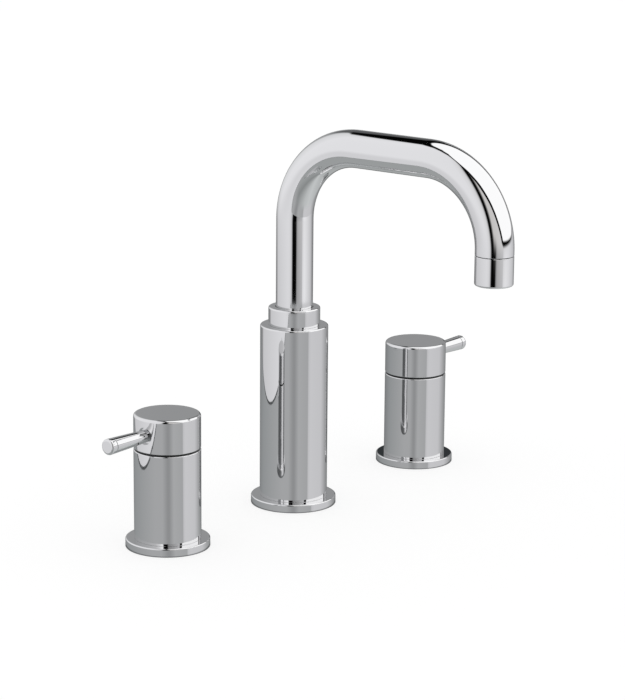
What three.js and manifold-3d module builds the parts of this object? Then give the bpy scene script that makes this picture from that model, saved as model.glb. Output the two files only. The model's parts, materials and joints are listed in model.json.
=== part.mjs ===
// Widespread basin faucet: a high swivelling spout between a hot and a cold quarter-turn lever valve.
// Millimetres, +Z up. The origin is the spout's axis on the deck's top, the spout points to -Y,
// the hot valve stands at -X and the cold valve at +X.

import * as THREE from 'three';
import { mergeVertices } from 'three/addons/utils/BufferGeometryUtils.js';
import Module from 'manifold-3d';

const wasm = await Module();
wasm.setup();

// Layout on the deck
const hotCentreDistance = 128;
const coldCentreDistance = 138;
const deckThickness = 20;

// Room between pieces that slide over, screw into or sit inside each other
const clearance = 0.3;
// How far a cutting shape runs past the surface that it cuts
const overrun = 1;

// Facets of the round surfaces
const largeSegments = 32;
const middleSegments = 20;
const smallSegments = 16;
const ringSides = 6;
const edgeSteps = 2;
const sectorSteps = 3;
const insertHoleSides = 6;

// Vertices closer than this are one vertex
const weldDistance = 0.0003;

// Flanges that cover the deck holes, each with a gasket in a groove underneath
const valveFlangeDiameter = 55;
const spoutFlangeDiameter = 58;
const flangeThickness = 5.6;
const flangeEdge = 0.9;
const gasketInset = 2.6;
const gasketWidth = 4;
const gasketThickness = 1.6;

// Valve sleeve, with the inner shelf that its ring nut presses on
const valveSleeveDiameter = 43.6;
const valveSleeveHeight = 59.3;
const sleeveWall = 2.2;
const sleeveEdge = 0.6;
const shelfThickness = 3;
const ringNutThickness = 3.6;
const ringNutRoom = 0.9;
const ringNutSlotWidth = 4;
const ringNutSlotDepth = 1.6;

// Glide ring in the dark gap between the sleeve and the handle
const glideGap = 1.2;
const glideInset = 1;
const glideSkirtWall = 1;
const glideSkirtDepth = 2.6;

// Handle hub
const hubDiameter = 43.5;
const hubHeight = 22.4;
const hubWall = 4.5;
const hubCrown = 3;
const hubTopEdge = 1.4;
const hubFootEdge = 0.4;
const hubBossWall = 4;
const hubBossGap = 1.2;

// Lever: a rod that widens outwards, its end cap, and the stud that locks the hub on the spindle
const leverReach = 56;
const leverRootDiameter = 8.1;
const leverTipDiameter = 10.5;
const leverCapLength = 5;
const leverEndEdge = 1.3;
const leverSeamEdge = 0.25;
const leverSocketDiameter = 10.4;
const leverSocketDepth = 2;
const leverSpigotDiameter = 5.6;
const leverSpigotLength = 2.6;
const studDiameter = 5;
const studGrip = 9;

// Valve body, put up through the deck from below
const barrelDiameter = 28;
const barrelRise = 0.5;
const barrelWall = 2.4;
const seatHeight = 28;
const inletBoreDiameter = 9;
const passageDiameter = 4.4;
const passageInset = 0.2;
const portBlockDiameter = 34;
const portBlockTop = -46;
const portBlockHeight = 22;
const portDiameter = 10.6;
const portDepth = 6;
const inletThreadDiameter = 20.9;
const inletThreadLength = 14;
const threadEdge = 0.8;

// Outlet nipple in the side of the valve body
const nippleThreadDiameter = 16.6;
const nippleThreadLength = 12;
const nippleHexAcross = 19;
const nippleHexLength = 5;
const nippleBoreDiameter = 6.4;

// Nut that holds the valve body and its flange down on the deck
const mountingNutThickness = 6;

// Clamping parts under the deck
const clampWasherDiameter = 52;
const rubberWasherThickness = 3;
const steelWasherThickness = 2;
const locknutAcross = 38;
const locknutThickness = 7;

// Quarter-turn cartridge
const cageRoom = 1.6;
const cageWall = 1.6;
const cageHeight = 18;
const windowWidth = 8;
const windowHeight = 7;
const windowGap = 1.5;
const bonnetHexAcross = 22;
const bonnetHexThickness = 4.5;
const sealThickness = 2.4;
const discThickness = 3.4;
const discOpeningInner = 1.4;
const discRim = 2.7;
const discOpeningHalfAngle = THREE.MathUtils.degToRad(38);
const driverThickness = 4;
const spindleDiameter = 9;
const splineDiameter = 8;
const splineToothDepth = 0.6;
const splineTeeth = 16;
const splineLead = 0.5;
const splineTopRoom = 1.2;
const cartridgeRingSection = 1.6;
const cartridgeRingDrop = 4;

// Spout sleeve and collar
const spoutSleeveDiameter = 46;
const spoutSleeveHeight = 119.1;
const spoutSleeveEdge = 1.1;
const collarDiameter = 35;
const collarHeight = 12.4;
const collarEdge = 1.2;
const collarLip = 3.6;
const collarSkirtLift = 1.9;
const collarSkirtWall = 1.6;

// Spout tube
const tubeDiameter = 25;
const tubeWall = 2;
const riserTop = 196.7;
const bendRadius = 52.6;
const spoutRun = 57.5;
const outletDrop = 3.2;
const bendSteps = 12;
const tubeBelowClip = 11.9;

// Swivel: bush with its stop lug and key, circlip, and pillar with two O-rings
const bushThickness = 2.6;
const lugWidth = 4;
const lugHeight = 3;
const keyWidth = 4;
const keyHeight = 2.4;
const swivelHalfAngle = THREE.MathUtils.degToRad(60);
const clipThickness = 1.4;
const clipWidth = 2.6;
const clipGrooveDepth = 0.9;
const clipOpening = 8;
const clipGap = 0.8;
const pillarStemDiameter = 23;
const pillarCrownHeight = 12;
const pillarShoulderThickness = 4;
const pillarBoreDiameter = 11;
const spigotLength = 34;
const spigotEdge = 0.8;
const ringSection = 2;
const ringGrooveDepth = 1.8;
const lowerRingHeight = 8;
const ringSpacing = 14;
const spoutShankDiameter = 26;
const spoutShankLength = 60;

// Tee that brings hot and cold water together under the spout
const teeWall = 3;
const teeSocketDepth = 12;
const teeChamberDepth = 14;
const teeFloor = 3;
const teeArmLength = 14;
const teeWasherThickness = 1.6;

// Aerator at the spout's outlet
const aeratorHeight = 19.5;
const aeratorEdge = 1.4;
const aeratorLip = 1.2;
const aeratorLipThickness = 2;
const aeratorSpigotLength = 6;
const aeratorSpigotWall = 1.2;
const seamEdge = 0.3;
const insertHeight = 9;
const insertHoleDiameter = 2.6;
const insertHoleInset = 3.3;
const insertHoles = 6;
const aeratorWasherThickness = 2;
const aeratorWasherWidth = 2;

// Materials
const chrome = new THREE.MeshStandardMaterial({ color: '#c9cacd', roughness: 0.08, metalness: 1 });
const brass = new THREE.MeshStandardMaterial({ color: '#b8924a', roughness: 0.35, metalness: 1 });
const steel = new THREE.MeshStandardMaterial({ color: '#b4b6b8', roughness: 0.3, metalness: 1 });
const rubber = new THREE.MeshStandardMaterial({ color: '#232323', roughness: 0.8, metalness: 0 });
const acetal = new THREE.MeshStandardMaterial({ color: '#141414', roughness: 0.45, metalness: 0 });
const ceramic = new THREE.MeshStandardMaterial({ color: '#e9e6df', roughness: 0.2, metalness: 0 });
const whitePlastic = new THREE.MeshStandardMaterial({ color: '#e4e6e8', roughness: 0.5, metalness: 0 });

// Levels above and below the deck that several pieces share
const sleeveTop = flangeThickness + valveSleeveHeight;
const glideSkirtFoot = sleeveTop - glideSkirtDepth;
const ringNutTop = glideSkirtFoot - clearance;
const shelfTop = ringNutTop - ringNutThickness;
const barrelTop = sleeveTop + barrelRise;
const hubFoot = sleeveTop + glideGap;
const hubTop = hubFoot + hubHeight;
const leverHeight = hubFoot + hubHeight / 2;
const bonnetTop = barrelTop + bonnetHexThickness;
const bossFoot = bonnetTop + hubBossGap;
const rubberWasherTop = -deckThickness;
const steelWasherTop = rubberWasherTop - rubberWasherThickness;
const locknutTop = steelWasherTop - steelWasherThickness;
const portBlockFoot = portBlockTop - portBlockHeight;
const portHeight = portBlockTop - portBlockHeight / 2;
const inletEnd = portBlockFoot - inletThreadLength;
const discFoot = seatHeight + sealThickness;
const movingDiscFoot = discFoot + discThickness;
const driverFoot = movingDiscFoot + discThickness;
const cageFoot = seatHeight + clearance;
const cageTop = cageFoot + cageHeight;
const splineFoot = bossFoot - splineLead;
const splineTop = hubTop - hubCrown - splineTopRoom;
const spoutSleeveTop = flangeThickness + spoutSleeveHeight;
const collarTop = spoutSleeveTop + collarHeight;
const collarLipFoot = collarTop - collarLip;
const clipTop = collarLipFoot - clipGap;
const clipFoot = clipTop - clipThickness;
const tubeFootHeight = clipFoot - tubeBelowClip;
const crownTop = tubeFootHeight - bushThickness;
const crownFoot = crownTop - pillarCrownHeight;
const collarFoot = crownFoot + collarSkirtLift;
const spoutShankEnd = -spoutShankLength;
const spoutInletEnd = spoutShankEnd - teeSocketDepth;
const tubeEndHeight = riserTop - outletDrop;
const spoutReach = bendRadius + spoutRun + bendRadius;
const outletHeight = tubeEndHeight - aeratorHeight;

// Radii that several pieces share
const tubeRadius = tubeDiameter / 2;
const tubeBoreRadius = tubeRadius - tubeWall;
const spigotRadius = tubeBoreRadius - clearance;
const barrelRadius = barrelDiameter / 2;
const barrelBoreRadius = barrelRadius - barrelWall;
const cageRadius = barrelBoreRadius - cageRoom;
const cageBoreRadius = cageRadius - cageWall;
const discRadius = cageBoreRadius - clearance;
const shankRadius = spoutShankDiameter / 2;
const inletThreadRadius = inletThreadDiameter / 2;
const valveSleeveBoreRadius = valveSleeveDiameter / 2 - sleeveWall;
const spoutSleeveBoreRadius = spoutSleeveDiameter / 2 - sleeveWall;
const clipOuterRadius = tubeRadius - clipGrooveDepth + clipWidth;
const collarCavityRadius = clipOuterRadius + 2 * clearance;
const crownRadius = collarCavityRadius - clearance;
const collarSkirtRadius = collarCavityRadius + collarSkirtWall;
const splineRadius = splineDiameter / 2;
const aeratorBoreRadius = spigotRadius - aeratorSpigotWall;
const insertRadius = aeratorBoreRadius - clearance;

// Geometry helpers. Outlines are lists of [radius, height] points that run round the section with
// the material on their left, and are turned about Z.
function turned(points, segments) {
  const outline = points.map(([radius, height]) => new THREE.Vector2(radius, height));
  const first = outline[0];
  const last = outline[outline.length - 1];
  if (first.x > 0 || last.x > 0) {
    outline.push(first.clone());
  }
  const geometry = new THREE.LatheGeometry(outline, segments);
  geometry.rotateX(Math.PI / 2);
  return geometry;
}

// Points of a rounded edge about a centre, from one angle to another in degrees
function roundEdge(radius, height, size, from, to) {
  const points = [];
  for (let step = 0; step <= edgeSteps; step += 1) {
    const angle = THREE.MathUtils.degToRad(from + ((to - from) * step) / edgeSteps);
    points.push([radius + size * Math.cos(angle), height + size * Math.sin(angle)]);
  }
  return points;
}

// A plain ring with square edges
function ring(inner, outer, low, high, segments) {
  return turned([[inner, low], [outer, low], [outer, high], [inner, high]], segments);
}

// A plain round bar
function bar(radius, low, high, segments) {
  return turned([[0, low], [radius, low], [radius, high], [0, high]], segments);
}

// A round section whose surface touches the radius it is given, for an O-ring
function ringOfSection(middle, height, section, segments) {
  const half = section / 2;
  const points = [];
  for (let side = 0; side < ringSides; side += 1) {
    const angle = (2 * Math.PI * side) / ringSides;
    points.push([middle + half * Math.cos(angle), height + half * Math.sin(angle)]);
  }
  return turned(points, segments);
}

// A flat outline raised between two heights
function raised(shape, low, high, curveSegments) {
  const depth = high - low;
  const geometry = new THREE.ExtrudeGeometry(shape, { depth, bevelEnabled: false, curveSegments });
  geometry.translate(0, 0, low);
  return geometry;
}

function circleShape(radius) {
  const shape = new THREE.Shape();
  shape.absarc(0, 0, radius, 0, 2 * Math.PI, false);
  return shape;
}

function circleHole(x, y, radius) {
  const hole = new THREE.Path();
  hole.absarc(x, y, radius, 0, 2 * Math.PI, true);
  return hole;
}

function polygonHole(x, y, radius, sides) {
  const points = [];
  for (let side = 0; side < sides; side += 1) {
    const angle = (2 * Math.PI * side) / sides;
    points.push(new THREE.Vector2(x + radius * Math.cos(angle), y + radius * Math.sin(angle)));
  }
  return new THREE.Path(points.reverse());
}

function polygonShape(points) {
  const shape = new THREE.Shape();
  shape.moveTo(points[0][0], points[0][1]);
  for (const [x, y] of points.slice(1)) {
    shape.lineTo(x, y);
  }
  shape.closePath();
  return shape;
}

function hexagonShape(acrossFlats) {
  const corner = acrossFlats / Math.sqrt(3);
  const points = [];
  for (let side = 0; side < 6; side += 1) {
    const angle = (Math.PI * side) / 3;
    points.push([corner * Math.cos(angle), corner * Math.sin(angle)]);
  }
  return polygonShape(points);
}

// A hexagon nut
function nut(acrossFlats, boreRadius, low, high) {
  const shape = hexagonShape(acrossFlats);
  shape.holes.push(circleHole(0, 0, boreRadius));
  return raised(shape, low, high, smallSegments / 2);
}

// A sector of a ring, between two radii and two angles
function sectorShape(inner, outer, from, to) {
  const points = [];
  for (let step = 0; step <= sectorSteps; step += 1) {
    const angle = from + ((to - from) * step) / sectorSteps;
    points.push([outer * Math.cos(angle), outer * Math.sin(angle)]);
  }
  for (let step = sectorSteps; step >= 0; step -= 1) {
    const angle = from + ((to - from) * step) / sectorSteps;
    points.push([inner * Math.cos(angle), inner * Math.sin(angle)]);
  }
  return polygonShape(points);
}

// The toothed outline of the spindle's spline, grown by a margin for the hub's socket
function splineShape(margin) {
  const points = [];
  const corners = 2 * splineTeeth;
  for (let corner = 0; corner < corners; corner += 1) {
    const root = corner % 2 === 0 ? 0 : splineToothDepth;
    const radius = splineRadius - root + margin;
    const angle = (2 * Math.PI * corner) / corners;
    points.push([radius * Math.cos(angle), radius * Math.sin(angle)]);
  }
  return polygonShape(points);
}

// Boolean helpers
function solid(geometry) {
  const bare = geometry.clone();
  bare.deleteAttribute('normal');
  bare.deleteAttribute('uv');
  const merged = mergeVertices(bare, weldDistance);
  const mesh = new wasm.Mesh({
    numProp: 3,
    vertProperties: new Float32Array(merged.attributes.position.array),
    triVerts: new Uint32Array(merged.index.array),
  });
  mesh.merge();
  return new wasm.Manifold(mesh);
}

function geometryOf(manifold) {
  const mesh = manifold.getMesh();
  const geometry = new THREE.BufferGeometry();
  geometry.setAttribute('position', new THREE.BufferAttribute(mesh.vertProperties, 3));
  geometry.setIndex(new THREE.BufferAttribute(mesh.triVerts, 1));
  geometry.computeVertexNormals();
  return geometry;
}

function cut(geometry, ...tools) {
  return geometryOf(tools.reduce((body, tool) => body.subtract(solid(tool)), solid(geometry)));
}

function joined(geometry, ...others) {
  return geometryOf(others.reduce((body, other) => body.add(solid(other)), solid(geometry)));
}

// Turns a shape built along +Z so that it lies along +X at a height
function alongX(geometry, height) {
  geometry.rotateY(Math.PI / 2);
  geometry.translate(0, 0, height);
  return geometry;
}

function box(width, depth, low, high, x, y) {
  const geometry = new THREE.BoxGeometry(width, depth, high - low);
  geometry.translate(x, y, (low + high) / 2);
  return geometry;
}

function piece(name, geometry, material) {
  const mesh = new THREE.Mesh(geometry, material);
  mesh.name = name;
  return mesh;
}

// Pieces that both kinds of station have
function flange(diameter, boreRadius) {
  const radius = diameter / 2;
  const grooveOuter = radius - gasketInset;
  const grooveInner = grooveOuter - gasketWidth;
  const points = [
    [boreRadius, 0],
    [grooveInner, 0],
    [grooveInner, gasketThickness],
    [grooveOuter, gasketThickness],
    [grooveOuter, 0],
    [radius, 0],
    ...roundEdge(radius - flangeEdge, flangeThickness - flangeEdge, flangeEdge, 0, 90),
    [boreRadius, flangeThickness],
  ];
  return turned(points, largeSegments);
}

function baseGasket(diameter) {
  const outer = diameter / 2 - gasketInset - clearance;
  const inner = outer + clearance - gasketWidth + clearance;
  return ring(inner, outer, 0, gasketThickness, middleSegments);
}

function clampParts(name, shaftRadius) {
  const bore = shaftRadius + clearance;
  const outer = clampWasherDiameter / 2;
  const rubberWasher = ring(bore, outer, steelWasherTop, rubberWasherTop, smallSegments);
  const steelWasher = ring(bore, outer, locknutTop, steelWasherTop, smallSegments);
  const locknut = nut(locknutAcross, bore, locknutTop - locknutThickness, locknutTop);
  return [
    piece(`${name}_deck_washer`, rubberWasher, rubber),
    piece(`${name}_steel_washer`, steelWasher, steel),
    piece(`${name}_locknut`, locknut, brass),
  ];
}

// Valve pieces. A valve station is built with its lever towards +X and its outlet towards -X.
function valveSleeve() {
  const radius = valveSleeveDiameter / 2;
  const shelfBore = barrelRadius + clearance;
  const points = [
    [valveSleeveBoreRadius, flangeThickness],
    [radius, flangeThickness],
    ...roundEdge(radius - sleeveEdge, sleeveTop - sleeveEdge, sleeveEdge, 0, 90),
    [valveSleeveBoreRadius, sleeveTop],
    [valveSleeveBoreRadius, shelfTop],
    [shelfBore, shelfTop],
    [shelfBore, shelfTop - shelfThickness],
    [valveSleeveBoreRadius, shelfTop - shelfThickness],
  ];
  return turned(points, largeSegments);
}

function ringNut() {
  const inner = barrelRadius + clearance;
  const outer = valveSleeveBoreRadius - ringNutRoom;
  const blank = ring(inner, outer, shelfTop, ringNutTop, smallSegments);
  const slotLow = ringNutTop - ringNutSlotDepth;
  const slotHigh = ringNutTop + overrun;
  const length = 2 * (outer + overrun);
  return cut(
    blank,
    box(length, ringNutSlotWidth, slotLow, slotHigh, 0, 0),
    box(ringNutSlotWidth, length, slotLow, slotHigh, 0, 0),
  );
}

function glideRing() {
  const outer = valveSleeveDiameter / 2 - glideInset;
  const skirtOuter = valveSleeveBoreRadius - clearance;
  const inner = skirtOuter - glideSkirtWall;
  const points = [
    [inner, glideSkirtFoot],
    [skirtOuter, glideSkirtFoot],
    [skirtOuter, sleeveTop],
    [outer, sleeveTop],
    [outer, hubFoot - clearance],
    [inner, hubFoot - clearance],
  ];
  return turned(points, middleSegments);
}

function hub() {
  const radius = hubDiameter / 2;
  const cavity = radius - hubWall;
  const crownFace = hubTop - hubCrown;
  const bossRadius = splineRadius + clearance + hubBossWall;
  const points = [
    [0, bossFoot],
    [bossRadius, bossFoot],
    [bossRadius, crownFace],
    [cavity, crownFace],
    [cavity, hubFoot],
    [radius - hubFootEdge, hubFoot],
    [radius, hubFoot + hubFootEdge],
    ...roundEdge(radius - hubTopEdge, hubTop - hubTopEdge, hubTopEdge, 0, 90),
    [0, hubTop],
  ];
  const socket = raised(splineShape(clearance), bossFoot - overrun, splineTop + clearance, 1);
  const studHole = alongX(bar(studDiameter / 2 + clearance, 0, radius, smallSegments), leverHeight);
  const leverSeat = radius - leverSocketDepth;
  const leverHole = bar(leverSocketDiameter / 2, leverSeat, radius + overrun, smallSegments);
  return cut(turned(points, largeSegments), socket, studHole, alongX(leverHole, leverHeight));
}

// The lever's pieces are built along +Z, with the valve's axis at zero, and lie in a turned group
const leverFoot = hubDiameter / 2 - leverSocketDepth + clearance;
const leverSeam = leverReach - leverCapLength;
const leverSlope = (leverTipDiameter - leverRootDiameter) / 2 / (leverReach - leverFoot);
const leverSeamRadius = leverRootDiameter / 2 + leverSlope * (leverSeam - leverFoot);

function lever() {
  const studHole = studDiameter / 2 + clearance;
  const studHoleEnd = leverFoot + studGrip + clearance;
  const spigot = leverSpigotDiameter / 2;
  const points = [
    [0, studHoleEnd],
    [studHole, studHoleEnd],
    [studHole, leverFoot],
    [leverRootDiameter / 2, leverFoot],
    [leverSeamRadius, leverSeam - leverSeamEdge],
    [leverSeamRadius - leverSeamEdge, leverSeam],
    [spigot, leverSeam],
    [spigot, leverSeam + leverSpigotLength],
    [0, leverSeam + leverSpigotLength],
  ];
  return turned(points, smallSegments);
}

function leverCap() {
  const foot = leverSeam + clearance;
  const hole = leverSpigotDiameter / 2 + clearance;
  const holeEnd = leverSeam + leverSpigotLength + clearance;
  const radius = leverTipDiameter / 2;
  const points = [
    [0, holeEnd],
    [hole, holeEnd],
    [hole, foot],
    [leverSeamRadius - leverSeamEdge, foot],
    [leverSeamRadius, foot + leverSeamEdge],
    ...roundEdge(radius - leverEndEdge, leverReach - leverEndEdge, leverEndEdge, 0, 90),
    [0, leverReach],
  ];
  return turned(points, smallSegments);
}

function leverStud() {
  return bar(studDiameter / 2, splineRadius + clearance, leverFoot + studGrip, smallSegments / 2);
}

function valveBody() {
  const inlet = inletBoreDiameter / 2;
  const block = portBlockDiameter / 2;
  const points = [
    [inlet, inletEnd],
    [inletThreadRadius - threadEdge, inletEnd],
    [inletThreadRadius, inletEnd + threadEdge],
    [inletThreadRadius, portBlockFoot],
    [block, portBlockFoot],
    [block, portBlockTop],
    [barrelRadius, portBlockTop],
    [barrelRadius, barrelTop - threadEdge],
    [barrelRadius - threadEdge, barrelTop],
    [barrelBoreRadius, barrelTop],
    [barrelBoreRadius, seatHeight],
    [inlet, seatHeight],
  ];
  const passage = bar(passageDiameter / 2, portHeight, seatHeight + overrun, smallSegments / 2);
  const passageOffset = barrelBoreRadius - passageInset - passageDiameter / 2;
  passage.translate(-passageOffset, 0, 0);
  const portFloor = -block + portDepth;
  const port = bar(portDiameter / 2, -block - overrun, portFloor, smallSegments);
  const drill = bar(passageDiameter / 2, portFloor - overrun, -passageOffset, smallSegments / 2);
  const blank = turned(points, middleSegments);
  return cut(blank, passage, alongX(port, portHeight), alongX(drill, portHeight));
}

// The nipple is built along +Z from the valve's axis, and lies in a group turned towards the spout
function outletNipple() {
  const bore = nippleBoreDiameter / 2;
  const block = portBlockDiameter / 2;
  const spigot = portDiameter / 2 - clearance;
  const thread = nippleThreadDiameter / 2;
  const hexFoot = block + clearance;
  const hexTop = hexFoot + nippleHexLength;
  const end = hexTop + nippleThreadLength;
  const points = [
    [bore, block - portDepth + clearance],
    [spigot, block - portDepth + clearance],
    [spigot, hexFoot + overrun],
    [thread, hexFoot + overrun],
    [thread, end - threadEdge],
    [thread - threadEdge, end],
    [bore, end],
  ];
  return joined(turned(points, smallSegments), nut(nippleHexAcross, spigot, hexFoot, hexTop));
}

function mountingNut() {
  const outer = valveSleeveBoreRadius - clearance;
  const top = flangeThickness + mountingNutThickness;
  return ring(barrelRadius + clearance, outer, flangeThickness, top, smallSegments);
}

function cartridgeBody() {
  const spindleBore = spindleDiameter / 2 + clearance;
  const thread = barrelBoreRadius - clearance;
  const cavityTop = driverFoot + driverThickness + clearance;
  const grooveTop = barrelTop - cartridgeRingDrop;
  const grooveFoot = grooveTop - cartridgeRingSection - clearance;
  const grooveFloor = thread - cartridgeRingSection;
  const points = [
    [cageBoreRadius, cageFoot],
    [cageRadius, cageFoot],
    [cageRadius, cageTop],
    [thread, cageTop],
    [thread, grooveFoot],
    [grooveFloor, grooveFoot],
    [grooveFloor, grooveTop],
    [thread, grooveTop],
    [thread, barrelTop],
    [spindleBore, barrelTop],
    [spindleBore, cavityTop],
    [cageBoreRadius, cavityTop],
  ];
  const bonnet = nut(bonnetHexAcross, spindleBore, barrelTop, bonnetTop);
  const low = movingDiscFoot + windowGap;
  const high = low + windowHeight;
  const window = box(2 * (cageRadius + overrun), windowWidth, low, high, 0, 0);
  const keep = bar(cageBoreRadius - overrun, low - overrun, high + overrun, smallSegments);
  const cutter = geometryOf(solid(window).subtract(solid(keep)));
  return cut(joined(turned(points, smallSegments), bonnet), cutter);
}

function cartridgeRing() {
  const section = cartridgeRingSection - clearance;
  const middle = barrelBoreRadius - clearance - cartridgeRingSection / 2;
  const height = barrelTop - cartridgeRingDrop - (cartridgeRingSection + clearance) / 2;
  return ringOfSection(middle, height, section, smallSegments);
}

function spindle() {
  const stem = spindleDiameter / 2;
  const driverTop = driverFoot + driverThickness;
  const points = [
    [0, driverFoot],
    [discRadius, driverFoot],
    [discRadius, driverTop],
    [stem, driverTop],
    [stem, splineFoot],
    [0, splineFoot],
  ];
  const spline = raised(splineShape(0), splineFoot - overrun, splineTop, 1);
  return joined(turned(points, smallSegments), spline);
}

// A ceramic disc with two openings, one on each side of its middle
function ceramicDisc(low, turn) {
  const high = low + discThickness;
  const blank = raised(circleShape(discRadius), low, high, smallSegments / 2);
  const openings = [0, Math.PI].map((side) => {
    const from = turn + side - discOpeningHalfAngle;
    const to = turn + side + discOpeningHalfAngle;
    const opening = sectorShape(discOpeningInner, discRadius - discRim, from, to);
    return raised(opening, low - overrun, high + overrun, 1);
  });
  return cut(blank, ...openings);
}

function seatSeal() {
  return ring(inletBoreDiameter / 2 + clearance, discRadius, seatHeight, discFoot, smallSegments);
}

function valveStation(name) {
  const leverGroup = new THREE.Group();
  leverGroup.position.z = leverHeight;
  leverGroup.rotation.y = Math.PI / 2;
  leverGroup.add(
    piece(`${name}_lever`, lever(), chrome),
    piece(`${name}_lever_cap`, leverCap(), chrome),
    piece(`${name}_lever_stud`, leverStud(), steel),
  );
  const outletGroup = new THREE.Group();
  outletGroup.position.z = portHeight;
  outletGroup.rotation.y = -Math.PI / 2;
  outletGroup.add(piece(`${name}_outlet_nipple`, outletNipple(), brass));

  const station = new THREE.Group();
  station.add(
    piece(`${name}_flange`, flange(valveFlangeDiameter, barrelRadius + clearance), chrome),
    piece(`${name}_base_gasket`, baseGasket(valveFlangeDiameter), rubber),
    piece(`${name}_sleeve`, valveSleeve(), chrome),
    piece(`${name}_ring_nut`, ringNut(), brass),
    piece(`${name}_glide_ring`, glideRing(), acetal),
    piece(`${name}_hub`, hub(), chrome),
    piece(`${name}_valve_body`, valveBody(), brass),
    piece(`${name}_mounting_nut`, mountingNut(), brass),
    piece(`${name}_cartridge_body`, cartridgeBody(), brass),
    piece(`${name}_cartridge_oring`, cartridgeRing(), rubber),
    piece(`${name}_spindle`, spindle(), brass),
    piece(`${name}_moving_disc`, ceramicDisc(movingDiscFoot, Math.PI / 2), ceramic),
    piece(`${name}_fixed_disc`, ceramicDisc(discFoot, 0), ceramic),
    piece(`${name}_seat_seal`, seatSeal(), rubber),
    ...clampParts(name, barrelRadius),
    leverGroup,
    outletGroup,
  );
  return station;
}

// Spout pieces
function spoutSleeve() {
  const radius = spoutSleeveDiameter / 2;
  const bore = collarSkirtRadius + clearance;
  const edge = spoutSleeveEdge;
  const points = [
    [spoutSleeveBoreRadius, flangeThickness],
    [radius, flangeThickness],
    ...roundEdge(radius - edge, spoutSleeveTop - edge, edge, 0, 90),
    [bore, spoutSleeveTop],
    [bore, spoutSleeveTop - shelfThickness],
    [spoutSleeveBoreRadius, spoutSleeveTop - shelfThickness],
  ];
  return turned(points, largeSegments);
}

function collar() {
  const radius = collarDiameter / 2;
  const points = [
    [collarCavityRadius, collarFoot],
    [collarSkirtRadius, collarFoot],
    [collarSkirtRadius, spoutSleeveTop],
    [radius, spoutSleeveTop],
    ...roundEdge(radius - collarEdge, collarTop - collarEdge, collarEdge, 0, 90),
    [tubeRadius + clearance, collarTop],
    [tubeRadius + clearance, collarLipFoot],
    [collarCavityRadius, collarLipFoot],
  ];
  return turned(points, largeSegments);
}

function pillar() {
  const bore = pillarBoreDiameter / 2;
  const stem = pillarStemDiameter / 2;
  const shoulder = spoutSleeveBoreRadius - clearance;
  const shoulderTop = flangeThickness + pillarShoulderThickness;
  const spigotTop = crownTop + spigotLength;
  const grooveFloor = spigotRadius - ringGrooveDepth;
  const half = (ringSection + clearance) / 2;
  const grooves = [];
  for (const height of ringHeights()) {
    grooves.push(
      [spigotRadius, height - half],
      [grooveFloor, height - half],
      [grooveFloor, height + half],
      [spigotRadius, height + half],
    );
  }
  const points = [
    [bore, spoutInletEnd],
    [inletThreadRadius - threadEdge, spoutInletEnd],
    [inletThreadRadius, spoutInletEnd + threadEdge],
    [inletThreadRadius, spoutShankEnd],
    [shankRadius, spoutShankEnd],
    [shankRadius, flangeThickness],
    [shoulder, flangeThickness],
    [shoulder, shoulderTop],
    [stem, shoulderTop],
    [stem, crownFoot],
    [crownRadius, crownFoot],
    [crownRadius, crownTop],
    [spigotRadius, crownTop],
    ...grooves,
    [spigotRadius, spigotTop - spigotEdge],
    [spigotRadius - spigotEdge, spigotTop],
    [bore, spigotTop],
  ];
  const slotLow = crownTop - lugHeight - clearance;
  const slotEnd = swivelHalfAngle + (lugWidth / 2 + clearance) / lugMiddleRadius();
  const slotShape = sectorShape(lugInnerRadius() - clearance, crownRadius + overrun, -slotEnd, slotEnd);
  const slot = raised(slotShape, slotLow, crownTop + overrun, smallSegments / 2);
  slot.rotateZ(-Math.PI / 2);
  return cut(turned(points, smallSegments), slot);
}

function ringHeights() {
  const lower = crownTop + lowerRingHeight;
  return [lower, lower + ringSpacing];
}

function spoutRing(height) {
  const middle = spigotRadius - ringGrooveDepth / 2 + clearance / 4;
  return ringOfSection(middle, height, ringGrooveDepth - clearance / 2, smallSegments);
}

function lugInnerRadius() {
  return tubeRadius - tubeWall / 2;
}

function lugMiddleRadius() {
  return (lugInnerRadius() + clipOuterRadius) / 2;
}

// The bush turns with the tube: its key stands in the tube's notch, its lug runs in the pillar's slot
function swivelBush() {
  const inner = tubeBoreRadius;
  const blank = ring(inner, clipOuterRadius, crownTop, tubeFootHeight, smallSegments);
  const lugLow = crownTop - lugHeight;
  const lugDepth = clipOuterRadius - lugInnerRadius() - clearance;
  const lugY = -(lugInnerRadius() + lugDepth / 2);
  const lug = box(lugWidth, lugDepth, lugLow, tubeFootHeight, 0, lugY);
  const keyInner = tubeBoreRadius + clearance;
  const keyDepth = tubeWall - clearance;
  const keyTop = tubeFootHeight + keyHeight;
  const key = box(keyWidth, keyDepth, crownTop, keyTop, 0, -(keyInner + keyDepth / 2));
  return joined(blank, lug, key);
}

function swivelClip() {
  const inner = tubeRadius - clipGrooveDepth + clearance / 2;
  const blank = ring(inner, clipOuterRadius, clipFoot, clipTop, middleSegments);
  const gapLow = clipFoot - overrun;
  const gapHigh = clipTop + overrun;
  const gap = box(clipOpening, 2 * clipOuterRadius, gapLow, gapHigh, 0, clipOuterRadius);
  return cut(blank, gap);
}

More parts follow.
